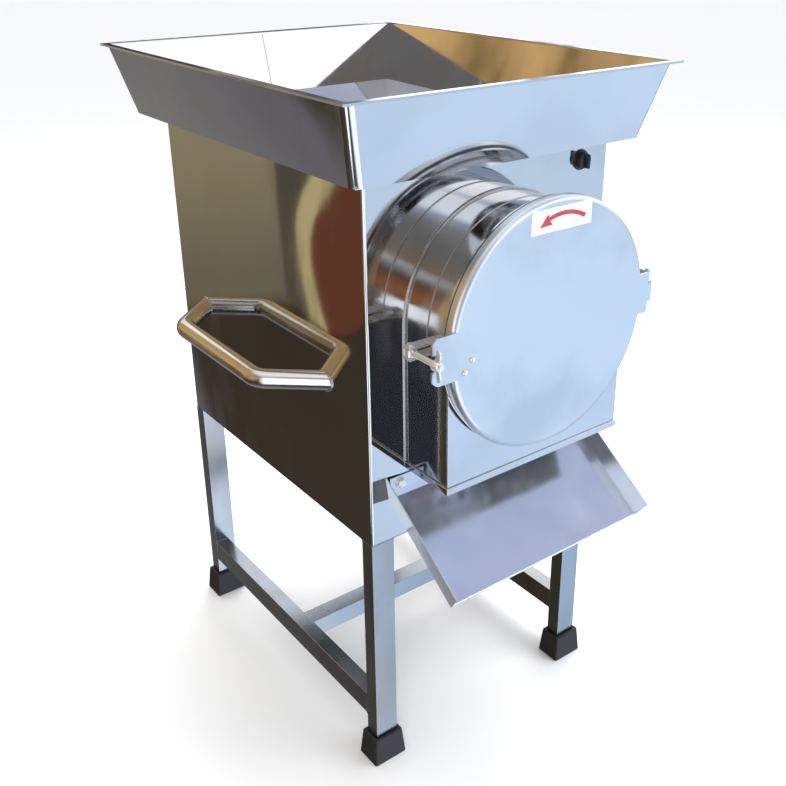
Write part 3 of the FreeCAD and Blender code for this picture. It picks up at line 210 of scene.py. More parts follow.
def room_colour(s):
    """The room by direction: pale on the right, a brown workshop on the left."""
    way = s.node("ShaderNodeTexCoord").outputs["Generated"]
    split = s.node("ShaderNodeSeparateXYZ")
    s.join(way, split.inputs[0])
    x, y, z = split.outputs
    less_x, less_y, less_z = (s.math("MULTIPLY", axis, -1.0) for axis in (x, y, z))

    def level(wobble):
        return s.math("MULTIPLY_ADD", wobble, 0.5, 0.5)
    shake = s.math("MULTIPLY_ADD", world_noise(s, way, 3.1, 2.0), 0.16, -0.08)
    wavy = level(s.math("ADD", z, shake))
    crisp = level(s.math("MULTIPLY_ADD", shake, 0.12, z))
    part = {name: s.ramp(crisp if name == "rear_left" else wavy, stops)
            for name, stops in ROOM.items()}

    rear = s.smooth(y, -0.25, 0.25)
    left = s.smooth(less_x, -0.02, 0.15)
    rear_right = s.mix(s.smooth(x, 0.50, 0.60), part["dim_rear"], part["pale_rear"])
    right_half = s.mix(rear, part["front_right"], rear_right)
    left_half = s.mix(rear, part["front_left"], part["rear_left"])
    grey = s.mix(s.smooth(less_x, 0.24, 0.34), (0.25, 0.24, 0.22, 1), (0.17, 0.16, 0.175, 1))
    straight_back = s.math("SUBTRACT", 1.0, s.smooth(less_x, 0.352, 0.368))
    low_rear = s.math("MULTIPLY", s.smooth(less_z, 0.14, 0.22), rear)
    left_half = s.mix(s.math("MULTIPLY", straight_back, low_rear), left_half, grey)
    room = s.mix(left, right_half, left_half)

    low_left = s.math("MULTIPLY", s.smooth(x, -0.42, -0.30), s.smooth(less_z, 0.05, 0.15))
    straight_ahead = s.math("MULTIPLY", s.math("MAXIMUM", s.smooth(x, -0.02, 0.08), low_left),
                            s.smooth(less_x, -0.42, -0.32))
    window = s.math("MULTIPLY", s.smooth(less_y, 0.45, 0.65), straight_ahead)
    room = s.mix(window, room, (1.5, 1.6, 1.7, 1))

    upright = s.node("ShaderNodeMapping")
    upright.inputs["Scale"].default_value = (1.6, 1.6, 0.18)
    s.join(way, upright.inputs["Vector"])
    posts = s.smooth(world_noise(s, upright.outputs[0], 8.0, 3.0), 0.40, 0.54)
    striped = s.mix(1.0, room, s.math("MULTIPLY_ADD", posts, 0.80, 0.30), "MULTIPLY")
    horizon = s.math("MULTIPLY", s.smooth(z, -0.35, -0.05), s.smooth(less_z, -0.36, -0.22))
    return s.mix(s.math("MULTIPLY", horizon, s.math("MAXIMUM", left, rear)), room, striped)


def make_world():
    """The camera sees plain white; everything else sees the room."""
    world = bpy.data.worlds.new("workshop")
    bpy.context.scene.world = world
    s = shader_for(world)
    mirrored = s.node("ShaderNodeBackground")
    s.join(room_colour(s), mirrored.inputs["Color"])
    plain = s.node("ShaderNodeBackground")
    plain.inputs["Color"].default_value = (1, 1, 1, 1)
    blend = s.node("ShaderNodeMixShader")
    s.join(s.node("ShaderNodeLightPath").outputs["Is Camera Ray"], blend.inputs[0])
    s.join(mirrored.outputs[0], blend.inputs[1])
    s.join(plain.outputs[0], blend.inputs[2])
    s.join(blend.outputs[0], s.node("ShaderNodeOutputWorld").inputs["Surface"])


def stage_piece(name, points, material, mirrored_only):
    """A flat stage piece. One that is mirrored only isn't seen, lights nothing, casts nothing."""
    mesh = bpy.data.meshes.new(name)
    mesh.from_pydata(points, [], [tuple(range(len(points)))])
    mesh.materials.append(material)
    made = bpy.data.objects.new(name, mesh)
    bpy.context.scene.collection.objects.link(made)
    if mirrored_only:
        made.visible_camera = made.visible_diffuse = made.visible_shadow = False
        made.visible_transmission = made.visible_volume_scatter = False
    else:
        made.visible_glossy = False


def plain_material(name, kind, colour, strength=None):
    """A stage surface of one shader."""
    material = bpy.data.materials.new(name)
    s = shader_for(material)
    made = s.node(kind)
    made.inputs["Color"].default_value = (*colour, 1)
    if strength is not None:
        made.inputs["Strength"].default_value = strength
    s.join(made.outputs[0], s.node("ShaderNodeOutputMaterial").inputs["Surface"])
    return material


FLOOR_REACH = 40.0


def bowed(reach, middle, above, below, first, last, count=9):
    """An upright edge bowed along y: reach less a bow times the square of the way from middle."""
    z = np.linspace(first, last, count)
    bow = np.where(z > middle, above, below)
    return list(zip(reach - bow * (z - middle) ** 2, z))


RUST_EDGE = bowed(1.385, 0.24, 2.6, 1.35, -0.015, 0.47)
TAN_EDGE = bowed(1.472, 0.28, 2.4, 0.8, 0.0, 0.48)
TUCKED = [(y - 0.01, z) for y, z in TAN_EDGE]

# The boards stand to the left, each an outline of (y, z) corners at its own x, with its colour.
BOARDS = {
    "board_dark": (-1.104, (0.105, 0.085, 0.062), 1.0,
                   [(1.34, 0.62), (1.60, 0.62), (1.57, 0.03)] + TUCKED),
    "board_tan": (-1.102, (0.62, 0.50, 0.25), 1.0,
                  [(1.20, 0.56), (1.30, 0.56)] + TAN_EDGE[::-1] + RUST_EDGE),
    "board_rust": (-1.1, (0.155, 0.052, 0.030), 1.0,
                   [(1.20, 0.01), (1.12, 0.06), (1.06, 0.12), (1.06, 0.60), (1.18, 0.60)]
                   + RUST_EDGE[::-1]),
    "board_white": (-1.1, (1.0, 1.02, 1.05), 1.7, [
        (-1.05, -0.2), (-0.40, -0.2), (-0.40, 1.3), (-1.05, 1.3), (-1.05, 0.70),
        (-1.90, 0.45), (-1.90, 0.10), (-1.05, 0.50)]),
}

# Each lamp's place, the point it faces, its size and its power.
LAMPS = {
    "overhead": ((0.7, 0.9, 2.9), (0, 0, 0.8), 2.4, 70),
    "left_front": ((-1.9, -2.3, 2.1), (0, 0, 0.7), 0.8, 22),
    "floor_fill": ((1.8, -1.8, 2.6), (0.5, 0, 0), 1.8, 40),
}


def make_stage():
    """A plain pale floor, and boards that only the polished steel mirrors."""
    far = FLOOR_REACH
    stage_piece("floor", [(-far, -far, 0), (far, -far, 0), (far, far, 0), (-far, far, 0)],
                plain_material("pale_floor", "ShaderNodeBsdfDiffuse", (0.93, 0.93, 0.93)), False)
    for name, (x, colour, strength, outline) in BOARDS.items():
        stage_piece(name, [(x, y, z) for y, z in outline],
                    plain_material(name, "ShaderNodeEmission", colour, strength), True)


def area_light(name, spot, aim, size, power):
    """A soft square lamp that faces a point. The steel doesn't mirror it."""
    lamp = bpy.data.lights.new(name, "AREA")
    lamp.shape, lamp.size, lamp.size_y = "RECTANGLE", size, size
    lamp.energy = power
    made = bpy.data.objects.new(name, lamp)
    bpy.context.scene.collection.objects.link(made)
    back = np.array(spot, float) - np.array(aim, float)
    back /= np.linalg.norm(back)
    side = np.cross([0, 1, 0.01], back)
    side /= np.linalg.norm(side)
    made.visible_glossy = False
    made.matrix_world = placed(side, np.cross(back, side), back, spot)


bpy.context.scene.view_settings.view_transform = "Standard"
make_camera()
make_world()
make_stage()
for lamp_name, lamp_values in LAMPS.items():
    area_light(lamp_name, *lamp_values)


# ------------------------------------------------------------------ finishes

def socket(tree, name, kind, way, value=None):
    """A named input or output of a group."""
    made = tree.interface.new_socket(name=name, in_out=way, socket_type=kind)
    if value is not None:
        made.default_value = value


def group(name, inputs, outputs):
    """An empty shader node group with named inputs and outputs."""
    tree = bpy.data.node_groups.new(name, "ShaderNodeTree")
    for title, kind, value in inputs:
        socket(tree, title, kind, "INPUT", value)
    for title, kind in outputs:
        socket(tree, title, kind, "OUTPUT")
    s = Shader(tree)
    return s, s.node("NodeGroupInput").outputs, s.node("NodeGroupOutput").inputs


COLOUR, VALUE, VECTOR = "NodeSocketColor", "NodeSocketFloat", "NodeSocketVector"


def patchy(s, spot, scale, detail, stretch=None):
    """Soft cloudy patches from 0 to 1, over the object's own coordinates."""
    if stretch is not None:
        turn = s.node("ShaderNodeMapping")
        s.join(spot, turn.inputs["Vector"])
        s.feed(turn.inputs["Scale"], stretch)
        spot = turn.outputs[0]
    made = s.node("ShaderNodeTexNoise")
    s.join(spot, made.inputs["Vector"])
    s.feed(made.inputs["Scale"], scale)
    made.inputs["Detail"].default_value = detail
    return made.outputs[0]


def sheet_wear():
    """Stains and wiping marks: colour drifts in broad clouds, roughness in smears and fine grain."""
    s, given, result = group("sheet_wear", [
        ("Colour", COLOUR, (0.6, 0.6, 0.6, 1)), ("Stain", COLOUR, (0.3, 0.25, 0.2, 1)),
        ("Staining", VALUE, 0.2), ("Roughness", VALUE, 0.1), ("Smears", VALUE, 0.06),
        ("Grain", VALUE, 0.03), ("Stretch", VECTOR, (1, 1, 1))],
        [("Colour", COLOUR), ("Roughness", VALUE)])
    spot = s.node("ShaderNodeTexCoord").outputs["Object"]
    cloud = s.smooth(patchy(s, spot, 7.0, 5.0), 0.42, 0.72)
    s.join(s.mix(s.math("MULTIPLY", cloud, given["Staining"]), given["Colour"], given["Stain"]),
           result["Colour"])
    smear = s.smooth(patchy(s, spot, 16.0, 3.0, (1, 1, 0.35)), 0.45, 0.70)
    grain = s.math("SUBTRACT", patchy(s, spot, 90.0, 2.0, given["Stretch"]), 0.5)
    rough = s.math("MULTIPLY_ADD", smear, given["Smears"], given["Roughness"])
    s.join(s.math("MULTIPLY_ADD", grain, given["Grain"], rough, clamp=True), result["Roughness"])
    return s.tree


def sheet_form():
    """Height in metres: the slow waves of rolled sheet, and fine brushing along one direction."""
    s, given, result = group("sheet_form", [
        ("Waves", VALUE, 0.0003), ("Brushing", VALUE, 0.000002), ("Stretch", VECTOR, (1, 1, 1))],
        [("Height", VALUE)])
    spot = s.node("ShaderNodeTexCoord").outputs["Object"]
    waves = s.math("MULTIPLY", patchy(s, spot, 5.5, 0.0), given["Waves"])
    brushing = patchy(s, spot, 160.0, 1.0, given["Stretch"])
    s.join(s.math("MULTIPLY_ADD", brushing, given["Brushing"], waves), result["Height"])
    return s.tree


def moulded_skin():
    """Rubber and plastic: dust in soft clouds lightens the colour, a fine pebble gives the height."""
    s, given, result = group("moulded_skin", [
        ("Colour", COLOUR, (0.03, 0.03, 0.03, 1)), ("Dust", COLOUR, (0.2, 0.19, 0.17, 1)),
        ("Dusting", VALUE, 0.3), ("Roughness", VALUE, 0.6), ("Pebble", VALUE, 0.00004),
        ("Grain Scale", VALUE, 600.0)],
        [("Colour", COLOUR), ("Roughness", VALUE), ("Height", VALUE)])
    spot = s.node("ShaderNodeTexCoord").outputs["Object"]
    cloud = s.smooth(patchy(s, spot, 22.0, 6.0), 0.48, 0.75)
    s.join(s.mix(s.math("MULTIPLY", cloud, given["Dusting"]), given["Colour"], given["Dust"]),
           result["Colour"])
    s.join(s.math("MULTIPLY_ADD", cloud, 0.18, given["Roughness"]), result["Roughness"])
    pebble = patchy(s, spot, given["Grain Scale"], 2.0)
    s.join(s.math("MULTIPLY", pebble, given["Pebble"]), result["Height"])
    return s.tree


def painted_skin():
    """Enamel on a casting: orange peel in the height, and bare dark metal where paint is chipped."""
    s, given, result = group("painted_skin", [
        ("Colour", COLOUR, (0.1, 0.2, 0.3, 1)), ("Bare", COLOUR, (0.06, 0.05, 0.045, 1)),
        ("Chipping", VALUE, 0.5), ("Roughness", VALUE, 0.4), ("Peel", VALUE, 0.00003)],
        [("Colour", COLOUR), ("Roughness", VALUE), ("Height", VALUE)])
    spot = s.node("ShaderNodeTexCoord").outputs["Object"]
    chip = s.math("MULTIPLY", s.smooth(patchy(s, spot, 60.0, 6.0), 0.66, 0.70),
                  given["Chipping"])
    fade = s.smooth(patchy(s, spot, 9.0, 3.0), 0.40, 0.70)
    washed = s.mix(s.math("MULTIPLY", fade, 0.25), given["Colour"], (0.5, 0.5, 0.5, 1))
    s.join(s.mix(chip, washed, given["Bare"]), result["Colour"])
    s.join(s.math("MULTIPLY_ADD", chip, 0.3, given["Roughness"]), result["Roughness"])
    peel = s.math("MULTIPLY", patchy(s, spot, 240.0, 1.0), given["Peel"])
    s.join(s.math("MULTIPLY_ADD", chip, -0.00006, peel), result["Height"])
    return s.tree


GROUPS = {"wear": sheet_wear(), "form": sheet_form(), "moulded": moulded_skin(),
          "painted": painted_skin()}


def use(s, tree, **values):
    """A group placed in a material, with its own values."""
    made = s.node("ShaderNodeGroup", node_tree=tree)
    for name, value in values.items():
        s.feed(made.inputs[name.replace("_", " ")], value)
    return made.outputs


def close(s, skin, height):
    """Join the bump and the output of a material."""
    bump = s.node("ShaderNodeBump")
    bump.inputs["Strength"].default_value = 1.0
    bump.inputs["Distance"].default_value = 1.0
    s.join(height, bump.inputs["Height"])
    s.join(bump.outputs[0], skin.inputs["Normal"])
    s.join(skin.outputs[0], s.node("ShaderNodeOutputMaterial").inputs["Surface"])


def steel(name, colour, rough, stain=(0.34, 0.27, 0.20), staining=0.15, smears=0.05, grain=0.03,
          waves=0.00025, brushing=0.0, along=(1, 1, 1), haze=0.0):
    """Stainless sheet or bar, from mirror to satin. Haze is the dull share of its surface."""
    material = bpy.data.materials.new(name)
    s = shader_for(material)
    skin = s.node("ShaderNodeBsdfPrincipled")
    skin.inputs["Metallic"].default_value = 1.0 - haze
    wear = use(s, GROUPS["wear"], Colour=(*colour, 1), Stain=(*stain, 1), Staining=staining,
               Roughness=rough, Smears=smears, Grain=grain, Stretch=along)
    s.join(wear["Colour"], skin.inputs["Base Color"])
    s.join(wear["Roughness"], skin.inputs["Roughness"])
    form = use(s, GROUPS["form"], Waves=waves, Brushing=brushing, Stretch=along)
    close(s, skin, form["Height"])
    return material


def soft(name, kind, coat=0.0, **values):
    """Rubber, plastic or paint, by the shader group of that kind."""
    material = bpy.data.materials.new(name)
    s = shader_for(material)
    skin = s.node("ShaderNodeBsdfPrincipled")
    skin.inputs["Coat Weight"].default_value = coat
    made = use(s, GROUPS[kind], **values)
    s.join(made["Colour"], skin.inputs["Base Color"])
    s.join(made["Roughness"], skin.inputs["Roughness"])
    close(s, skin, made["Height"])
    return material


# How far a brushed grain is squeezed along each axis: the small number is the grain's direction.
UPRIGHT, LEVEL, ACROSS = (6, 6, 0.15), (0.15, 0.15, 6), (6, 0.2, 6)
FINISHES = {
    "stand_steel": steel("stand_steel", (0.42, 0.46, 0.50), 0.20, staining=0.4, smears=0.08,
                         waves=0.0001, brushing=0.000002, along=UPRIGHT),
    "foot_rubber": soft("foot_rubber", "moulded", Colour=(0.012, 0.012, 0.014, 1), Dusting=0.12,
                        Roughness=0.55),
    "panel_steel": steel("panel_steel", (0.64, 0.65, 0.66), 0.045, staining=0.10, smears=0.05,
                         waves=0.0002, along=UPRIGHT),
    "hopper_steel": steel("hopper_steel", (0.66, 0.67, 0.69), 0.05, staining=0.12, smears=0.06,
                          waves=0.0004, along=LEVEL),
    "drum_steel": steel("drum_steel", (0.64, 0.66, 0.69), 0.10, staining=0.15, smears=0.07,
                        waves=0.0003, along=LEVEL),
    "cover_steel": steel("cover_steel", (0.70, 0.74, 0.78), 0.34, stain=(0.52, 0.56, 0.58),
                         staining=0.7, smears=0.08, grain=0.08, waves=0.0001,
                         brushing=0.000004, along=(7, 7, 0.12)),
    "seal_rubber": soft("seal_rubber", "moulded", Colour=(0.05, 0.05, 0.055, 1), Roughness=0.6),
    "plate_print": soft("plate_print", "moulded", coat=0.3, Colour=(0.86, 0.85, 0.84, 1),
                        Dust=(0.70, 0.68, 0.66, 1), Dusting=0.5, Roughness=0.35,
                        Pebble=0.00001),
    "arrow_red": soft("arrow_red", "moulded", coat=0.3, Colour=(0.42, 0.02, 0.035, 1),
                      Dust=(0.45, 0.10, 0.12, 1), Dusting=0.6, Roughness=0.4, Pebble=0.00001),
    "bright_fittings": steel("bright_fittings", (0.80, 0.81, 0.82), 0.20, staining=0.25,
                             smears=0.1, grain=0.06, waves=0.0, haze=0.35),
    "chute_steel": steel("chute_steel", (0.62, 0.66, 0.74), 0.13, stain=(0.42, 0.44, 0.50),
                         staining=0.45, smears=0.10, grain=0.04, waves=0.0003,
                         brushing=0.000001, along=ACROSS, haze=0.18),
    "handle_steel": steel("handle_steel", (0.64, 0.63, 0.60), 0.13, staining=0.4, smears=0.08,
                          waves=0.0),
    "rotor_steel": steel("rotor_steel", (0.50, 0.50, 0.50), 0.30, staining=0.4, grain=0.1,
                         waves=0.0, brushing=0.000004, along=ACROSS),
    "cast_grey": soft("cast_grey", "painted", Colour=(0.18, 0.19, 0.20, 1), Roughness=0.5,
                      Peel=0.00012),
    "bracket_steel": soft("bracket_steel", "painted", Colour=(0.22, 0.24, 0.26, 1)),
    "motor_paint": soft("motor_paint", "painted", Colour=(0.12, 0.20, 0.30, 1),
                        Roughness=0.35),
    "belt_rubber": soft("belt_rubber", "moulded", Colour=(0.015, 0.015, 0.015, 1), Dusting=0.4),
    "black_plastic": soft("black_plastic", "moulded", Colour=(0.02, 0.02, 0.023, 1),
                          Dusting=0.15, Roughness=0.38, Pebble=0.00002),
}
FINISHES["weld_steel"] = steel("weld_steel", (0.52, 0.52, 0.52), 0.24, stain=(0.20, 0.15, 0.12),
                               staining=0.6, smears=0.12, grain=0.1, waves=0.0)
# A brighter, hazier copy of the sheet steel for the rolled hems: a painted highlight, the white band
# those edges catch painted into their colour.
FINISHES["edge_highlight_steel"] = steel("edge_highlight_steel", (0.88, 0.90, 0.93), 0.25, staining=0.2, waves=0.0,
                               haze=0.6)
FINISHES["pointer_white"] = soft("pointer_white", "moulded", Colour=(0.8, 0.8, 0.78, 1),
                                 Dusting=0.3, Roughness=0.45)

for node in NODES.values():
    for place in node.material_slots:
        finish = FINISHES[place.material.name.split(".")[0]]
        place.link = "OBJECT"
        place.material = finish


# ------------------------------------------------------------------ shapes

def finish_mesh(name, work, crease, finish):
    """A mesh from a bmesh: faces outward, smooth but for edges sharper than crease degrees."""
    bmesh.ops.recalc_face_normals(work, faces=work.faces)
    mesh = bpy.data.meshes.new(name)
    work.to_mesh(mesh)
    work.free()
    if "custom_normal" in mesh.attributes:
        mesh.attributes.remove(mesh.attributes["custom_normal"])
    mesh.materials.clear()
    mesh.materials.append(FINISHES[finish])
    mesh.shade_smooth()
    mesh.set_sharp_from_angle(angle=math.radians(crease))
    made = bpy.data.objects.new(name, mesh)
    bpy.context.scene.collection.objects.link(made)
    return made


def settle(made, body, stands_for=()):
    """The piece rides on its body, and the CAD nodes it stands for are hidden."""
    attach(made, body)
    if stands_for:
        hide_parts(*stands_for)
    return made


def piece(name, forms, body, slot, stands_for=(), finish=None, crease=32):
    """One piece from closed forms, each its points and faces, in metres."""
    work = bmesh.new()
    for points, faces in forms:
        mesh = bpy.data.meshes.new("form")
        mesh.from_pydata(np.asarray(points, float).tolist(), [], faces)
        work.from_mesh(mesh)
        bpy.data.meshes.remove(mesh)
    bmesh.ops.remove_doubles(work, verts=work.verts, dist=2e-6)
    bmesh.ops.dissolve_degenerate(work, dist=1e-6, edges=work.edges)
    return settle(finish_mesh(name, work, crease, finish or slot), body, stands_for)


def skin_over(rings, closed=False):
    """Faces from each ring of points to the next, with an end face unless the run is closed."""
    rings = np.asarray(rings, float)
    count, around = rings.shape[:2]
    index = np.arange(count * around).reshape(count, around)
    below, above = index[:None if closed else -1], np.roll(index, -1, 0)
    above = above[:len(below)]
    faces = np.stack([below, np.roll(below, -1, 1), np.roll(above, -1, 1), above], -1)
    faces = [tuple(f) for f in faces.reshape(-1, 4).tolist()]
    if not closed:
        faces += [tuple(index[0][::-1].tolist()), tuple(index[-1].tolist())]
    return rings.reshape(-1, 3), faces


def turned(spot, axis, profile, around=48, start=0.0):
    """A turned form: each (radius, distance along the axis) of the profile carried round it."""
    axis = np.asarray(axis, float)
    side = np.cross(axis, [0.31, 0.17, 0.93])
    side /= np.linalg.norm(side)
    rise = np.cross(axis, side)
    turn = start + np.linspace(0, 2 * math.pi, around, endpoint=False)[:, None]
    circle = np.cos(turn) * side + np.sin(turn) * rise
    return skin_over([np.asarray(spot) + axis * far + circle * radius for radius, far in profile])


def dense(points, step, closed=False):
    """The same broken line with points about one step apart."""
    points = np.asarray(points, float)
    ends = np.roll(points, -1, 0) if closed else points[1:]
    out = []
    for a, b in zip(points, ends):
        count = max(1, int(round(np.linalg.norm(b - a) / step)))
        out.append(a + (b - a) * np.linspace(0, 1, count, endpoint=False)[:, None])
    if not closed:
        out.append(points[-1:])
    return np.concatenate(out)


def bead(path, up, radius, closed=False, ripple=0.14, pool=0.0035):
    """A weld bead: a round section carried along a path, swelling once for each pool of weld."""
    path = np.asarray(path, float)
    step = np.roll(path, -1, 0) - np.roll(path, 1, 0)
    if not closed:
        step[0], step[-1] = path[1] - path[0], path[-1] - path[-2]
    step /= np.linalg.norm(step, axis=1)[:, None]
    side = np.cross(step, up)
    side /= np.linalg.norm(side, axis=1)[:, None]
    rise = np.cross(side, step)
    run = np.concatenate([[0], np.cumsum(np.linalg.norm(np.diff(path, axis=0), axis=1))])
    size = radius * (1 - ripple + ripple * np.abs(np.sin(math.pi * run / pool)))
    turn = np.linspace(0, 2 * math.pi, 10, endpoint=False)[None, :, None]
    rings = path[:, None] + size[:, None, None] * (np.cos(turn) * side[:, None]
                                                   + np.sin(turn) * rise[:, None])
    return skin_over(rings, closed)


def ring_path(spot, radius, flat_axis, first=0.0, last=360.0, step=0.001):
    """Points on an arc round a spot, in the plane across the x, y or z axis."""
    count = max(8, int(abs(math.radians(last - first)) * radius / step))
    full = abs(last - first) >= 360
    turn = np.radians(np.linspace(first, last, count, endpoint=not full))
    flat = np.zeros((count, 3))
    one, two = [axis for axis in range(3) if axis != flat_axis]
    flat[:, one], flat[:, two] = np.cos(turn) * radius, np.sin(turn) * radius
    return np.asarray(spot, float) + flat


def slab(outline, near, far, bevel):
    """A flat plate along Y: an outline of (x, z) corners, its front edge drawn in by a bevel."""
    outline = np.asarray(outline, float)
    middle = outline.mean(0)

    def at(y, inset):
        pull = outline - middle
        pull = pull / np.linalg.norm(pull, axis=1)[:, None] * inset
        flat = outline - pull
        return np.column_stack([flat[:, 0], np.full(len(flat), y), flat[:, 1]])
    return skin_over([at(far, 0), at(near + bevel, 0), at(near, bevel)])


def softened(node, width, chosen=None, segments=3, crease=30):
    """A CAD node with its sharp edges rounded: coplanar faces joined, then a bevel."""
    source = NODES[node]
    work = bmesh.new()
    work.from_mesh(source.data)
    bmesh.ops.remove_doubles(work, verts=work.verts, dist=1e-6)
    bmesh.ops.dissolve_limit(work, angle_limit=math.radians(0.4), verts=work.verts,
                             edges=work.edges)
    picked = [e for e in work.edges if len(e.link_faces) == 2
              and e.calc_face_angle(0) > math.radians(crease)
              and (chosen is None or chosen(*(np.array(v.co) for v in e.verts)))]
    bmesh.ops.bevel(work, geom=picked, offset=width, offset_type="OFFSET", segments=segments,
                    profile=0.5, affect="EDGES", clamp_overlap=True)
    slot = source.material_slots[0].name.split(".")[0]
    made = finish_mesh("soft_" + node, work, crease, slot)
    weigh = made.modifiers.new("weigh", "WEIGHTED_NORMAL")
    weigh.keep_sharp = True
    return settle(made, body_of(source)[0], (node,))


# ------------------------------------------------------------------ stand and body

FRAME, COVER = "frame", "cover"
TUBE_EDGE, FOOT_EDGE, BODY_EDGE = 2.5 * MM, 3.0 * MM, 4.0 * MM
HOPPER_BEND = 13 * MM

for corner in ("front_left", "rear_left", "front_right", "rear_right"):
    softened("leg_" + corner, TUBE_EDGE)
    softened("foot_" + corner, FOOT_EDGE)
for rail in ("side_rail_left", "side_rail_right", "cross_rail"):
    softened(rail, TUBE_EDGE)

body_low, body_high = corners("body_shell")


def end_weld(corner_list, across, radius=1.3 * MM):
    """A bead round a tube's end, through its four corners."""
    return bead(dense(corner_list, MM, True), across, radius, True)


def stand_welds():
    """A bead round each rail's end, and round the top of each leg where it meets the body."""
    forms = []
    cross_low, cross_high = corners("cross_rail")
    for side in ("left", "right"):
        low, high = corners("side_rail_" + side)
        for y in (low[1], high[1]):
            forms.append(end_weld([(low[0], y, low[2]), (high[0], y, low[2]),
                                   (high[0], y, high[2]), (low[0], y, high[2])], (0, 1, 0)))
        inner = low[0] if side == "right" else high[0]
        forms.append(end_weld([(inner, cross_low[1], cross_low[2]),
                               (inner, cross_high[1], cross_low[2]),
                               (inner, cross_high[1], cross_high[2]),
                               (inner, cross_low[1], cross_high[2])], (1, 0, 0)))
        for end in ("front", "rear"):
            low, high = corners(f"leg_{end}_{side}")
            far_x, x = (low[0], high[0]) if side == "left" else (high[0], low[0])
            far_y, y = (low[1], high[1]) if end == "front" else (high[1], low[1])
            forms.append(bead(dense([(far_x, y, high[2]), (x, y, high[2]), (x, far_y, high[2])],
                                    MM), (0, 0, 1), 1.2 * MM))
    piece("stand_welds", forms, FRAME, "stand_steel", finish="weld_steel")


stand_welds()


def body_corner(a, b):
    """An edge that stands upright at an outer corner of the body."""
    middle = (a + b) / 2
    upright = abs(a[2] - b[2]) > 0.2
    near_x = min(abs(middle[0] - body_low[0]), abs(middle[0] - body_high[0])) < 0.1 * MM
    near_y = min(abs(middle[1] - body_low[1]), abs(middle[1] - body_high[1])) < 0.1 * MM
    return upright and near_x and near_y


softened("body_shell", BODY_EDGE, body_corner, 6)


# ------------------------------------------------------------------ hopper

hop_low, hop_high = corners("hopper_walls")


def hopper_corner(a, b):
    """An edge that leans outwards at a front corner of the hopper, inside or outside."""
    run = np.abs(a - b)
    return a[1] < 0 and run[2] > 0.09 and run[0] > 0.01 and run[1] > 0.01


softened("hopper_walls", HOPPER_BEND, hopper_corner, 8)


def hopper_trim():
    """The hem rolled under the rim's edge, and the seam between the walls and the body."""
    hem, turn = 1.5 * MM, 3 * MM
    z = hop_high[2] - hem
    path = []
    for x, y, first in ((hop_low[0], hop_low[1], 180), (hop_high[0], hop_low[1], 270),
                        (hop_high[0], hop_high[1], 0), (hop_low[0], hop_high[1], 90)):
        inward_x = 1 if first in (90, 180) else -1
        inward_y = 1 if first >= 180 else -1
        spot = (x + inward_x * (hem + turn), y + inward_y * (hem + turn), z)
        path.append(ring_path(spot, turn, 2, first, first + 90))
    # The rim's hem wears the brighter edge steel, which paints on its white highlight.
    piece("rim_hem", [bead(dense(np.concatenate(path), 4 * MM, True), (0, 0, 1), hem, True, 0.0)],
          FRAME, "hopper_steel", finish="edge_highlight_steel")
    out, down, size = 0.5 * MM, 1.0 * MM, 1.5 * MM
    x0, x1 = body_low[0] - out, body_high[0] + out
    y0, y1 = body_low[1] - out, body_high[1] + out
    z = body_high[2] - down
    piece("shelf_weld", [bead(dense([(x0, y0, z), (x1, y0, z), (x1, y1, z), (x0, y1, z)],
                                    MM, True), (0, 0, 1), size, True, 0.10)],
          FRAME, "hopper_steel", finish="weld_steel")


hopper_trim()


# ------------------------------------------------------------------ drum and spout

shell_low, shell_high = corners("drum_shell")
front_high = corners("drum_front_plate")[1]
AXIS_X = (shell_low[0] + shell_high[0]) / 2
RADIUS = (shell_high[0] - shell_low[0]) / 2
AXIS_Z = shell_high[2] - RADIUS
HOOP_SETBACK = 48 * MM


def drum_outline(y, grow, step=MM):
    """The drum's outline at one depth: the half circle above, the spout's sides below."""
    x0, x1 = AXIS_X - RADIUS - grow, AXIS_X + RADIUS + grow
    arc = ring_path((AXIS_X, y, AXIS_Z), RADIUS + grow, 1, 0, 180, step)
    foot = shell_low[2] + 12 * MM
    return np.concatenate([dense([(x1, y, foot), (x1, y, AXIS_Z)], step)[:-1], arc,
                           dense([(x0, y, AXIS_Z), (x0, y, foot)], step)[1:]])


def drum_welds():
    """The seam to the body, the seam to the front plate, and the joint in the rolled sheet."""
    seam = bead(drum_outline(body_low[1] - 1.0 * MM, 0.8 * MM), (0, 1, 0), 2.2 * MM, ripple=0.10)
    front = bead(drum_outline(front_high[1] - 1.2 * MM, 0.0), (0, 1, 0), 1.1 * MM, ripple=0.06)
    middle = (AXIS_X, body_low[1] - HOOP_SETBACK, AXIS_Z)
    hoop = bead(ring_path(middle, RADIUS + 0.1 * MM, 1, 0, 180), (0, 1, 0), 1.0 * MM, ripple=0.10)
    piece("drum_welds", [seam, front], FRAME, "drum_steel", finish="weld_steel")
    piece("drum_hoop_seam", [hoop], FRAME, "drum_steel", finish="weld_steel")


drum_welds()
softened("spout_lip", 1.0 * MM)
softened("drum_front_plate", 0.5 * MM, crease=50)


# ------------------------------------------------------------------ cover and its fittings

def dome(spot, axis, radius, height, foot):
    """A domed head on a short foot: the height falls off as a quarter circle."""
    fall = np.linspace(0, math.pi / 2, 9)
    profile = [(0, 0), (radius, 0), (radius, foot)]
    profile += [(radius * math.cos(a), foot + (height - foot) * math.sin(a)) for a in fall[1:]]
    return turned(spot, axis, profile)


RIVET_RADIUS, RIVET_FOOT = 4 * MM, 0.6 * MM
# The arrow: its bow's radius, half its band, and its head's three corners past the bow's middle,
# each of the last as shares of the plate's height. Angles are clockwise from straight up.
ARROW_BOW, ARROW_BAND = 78 * MM, 0.095
ARROW_TAIL, ARROW_NECK, ARROW_TIP = 29, -19, -33
ARROW_HEAD = [(ARROW_NECK - 0.5, 0.24), (ARROW_TIP, -0.03), (ARROW_NECK + 2.5, -0.30)]


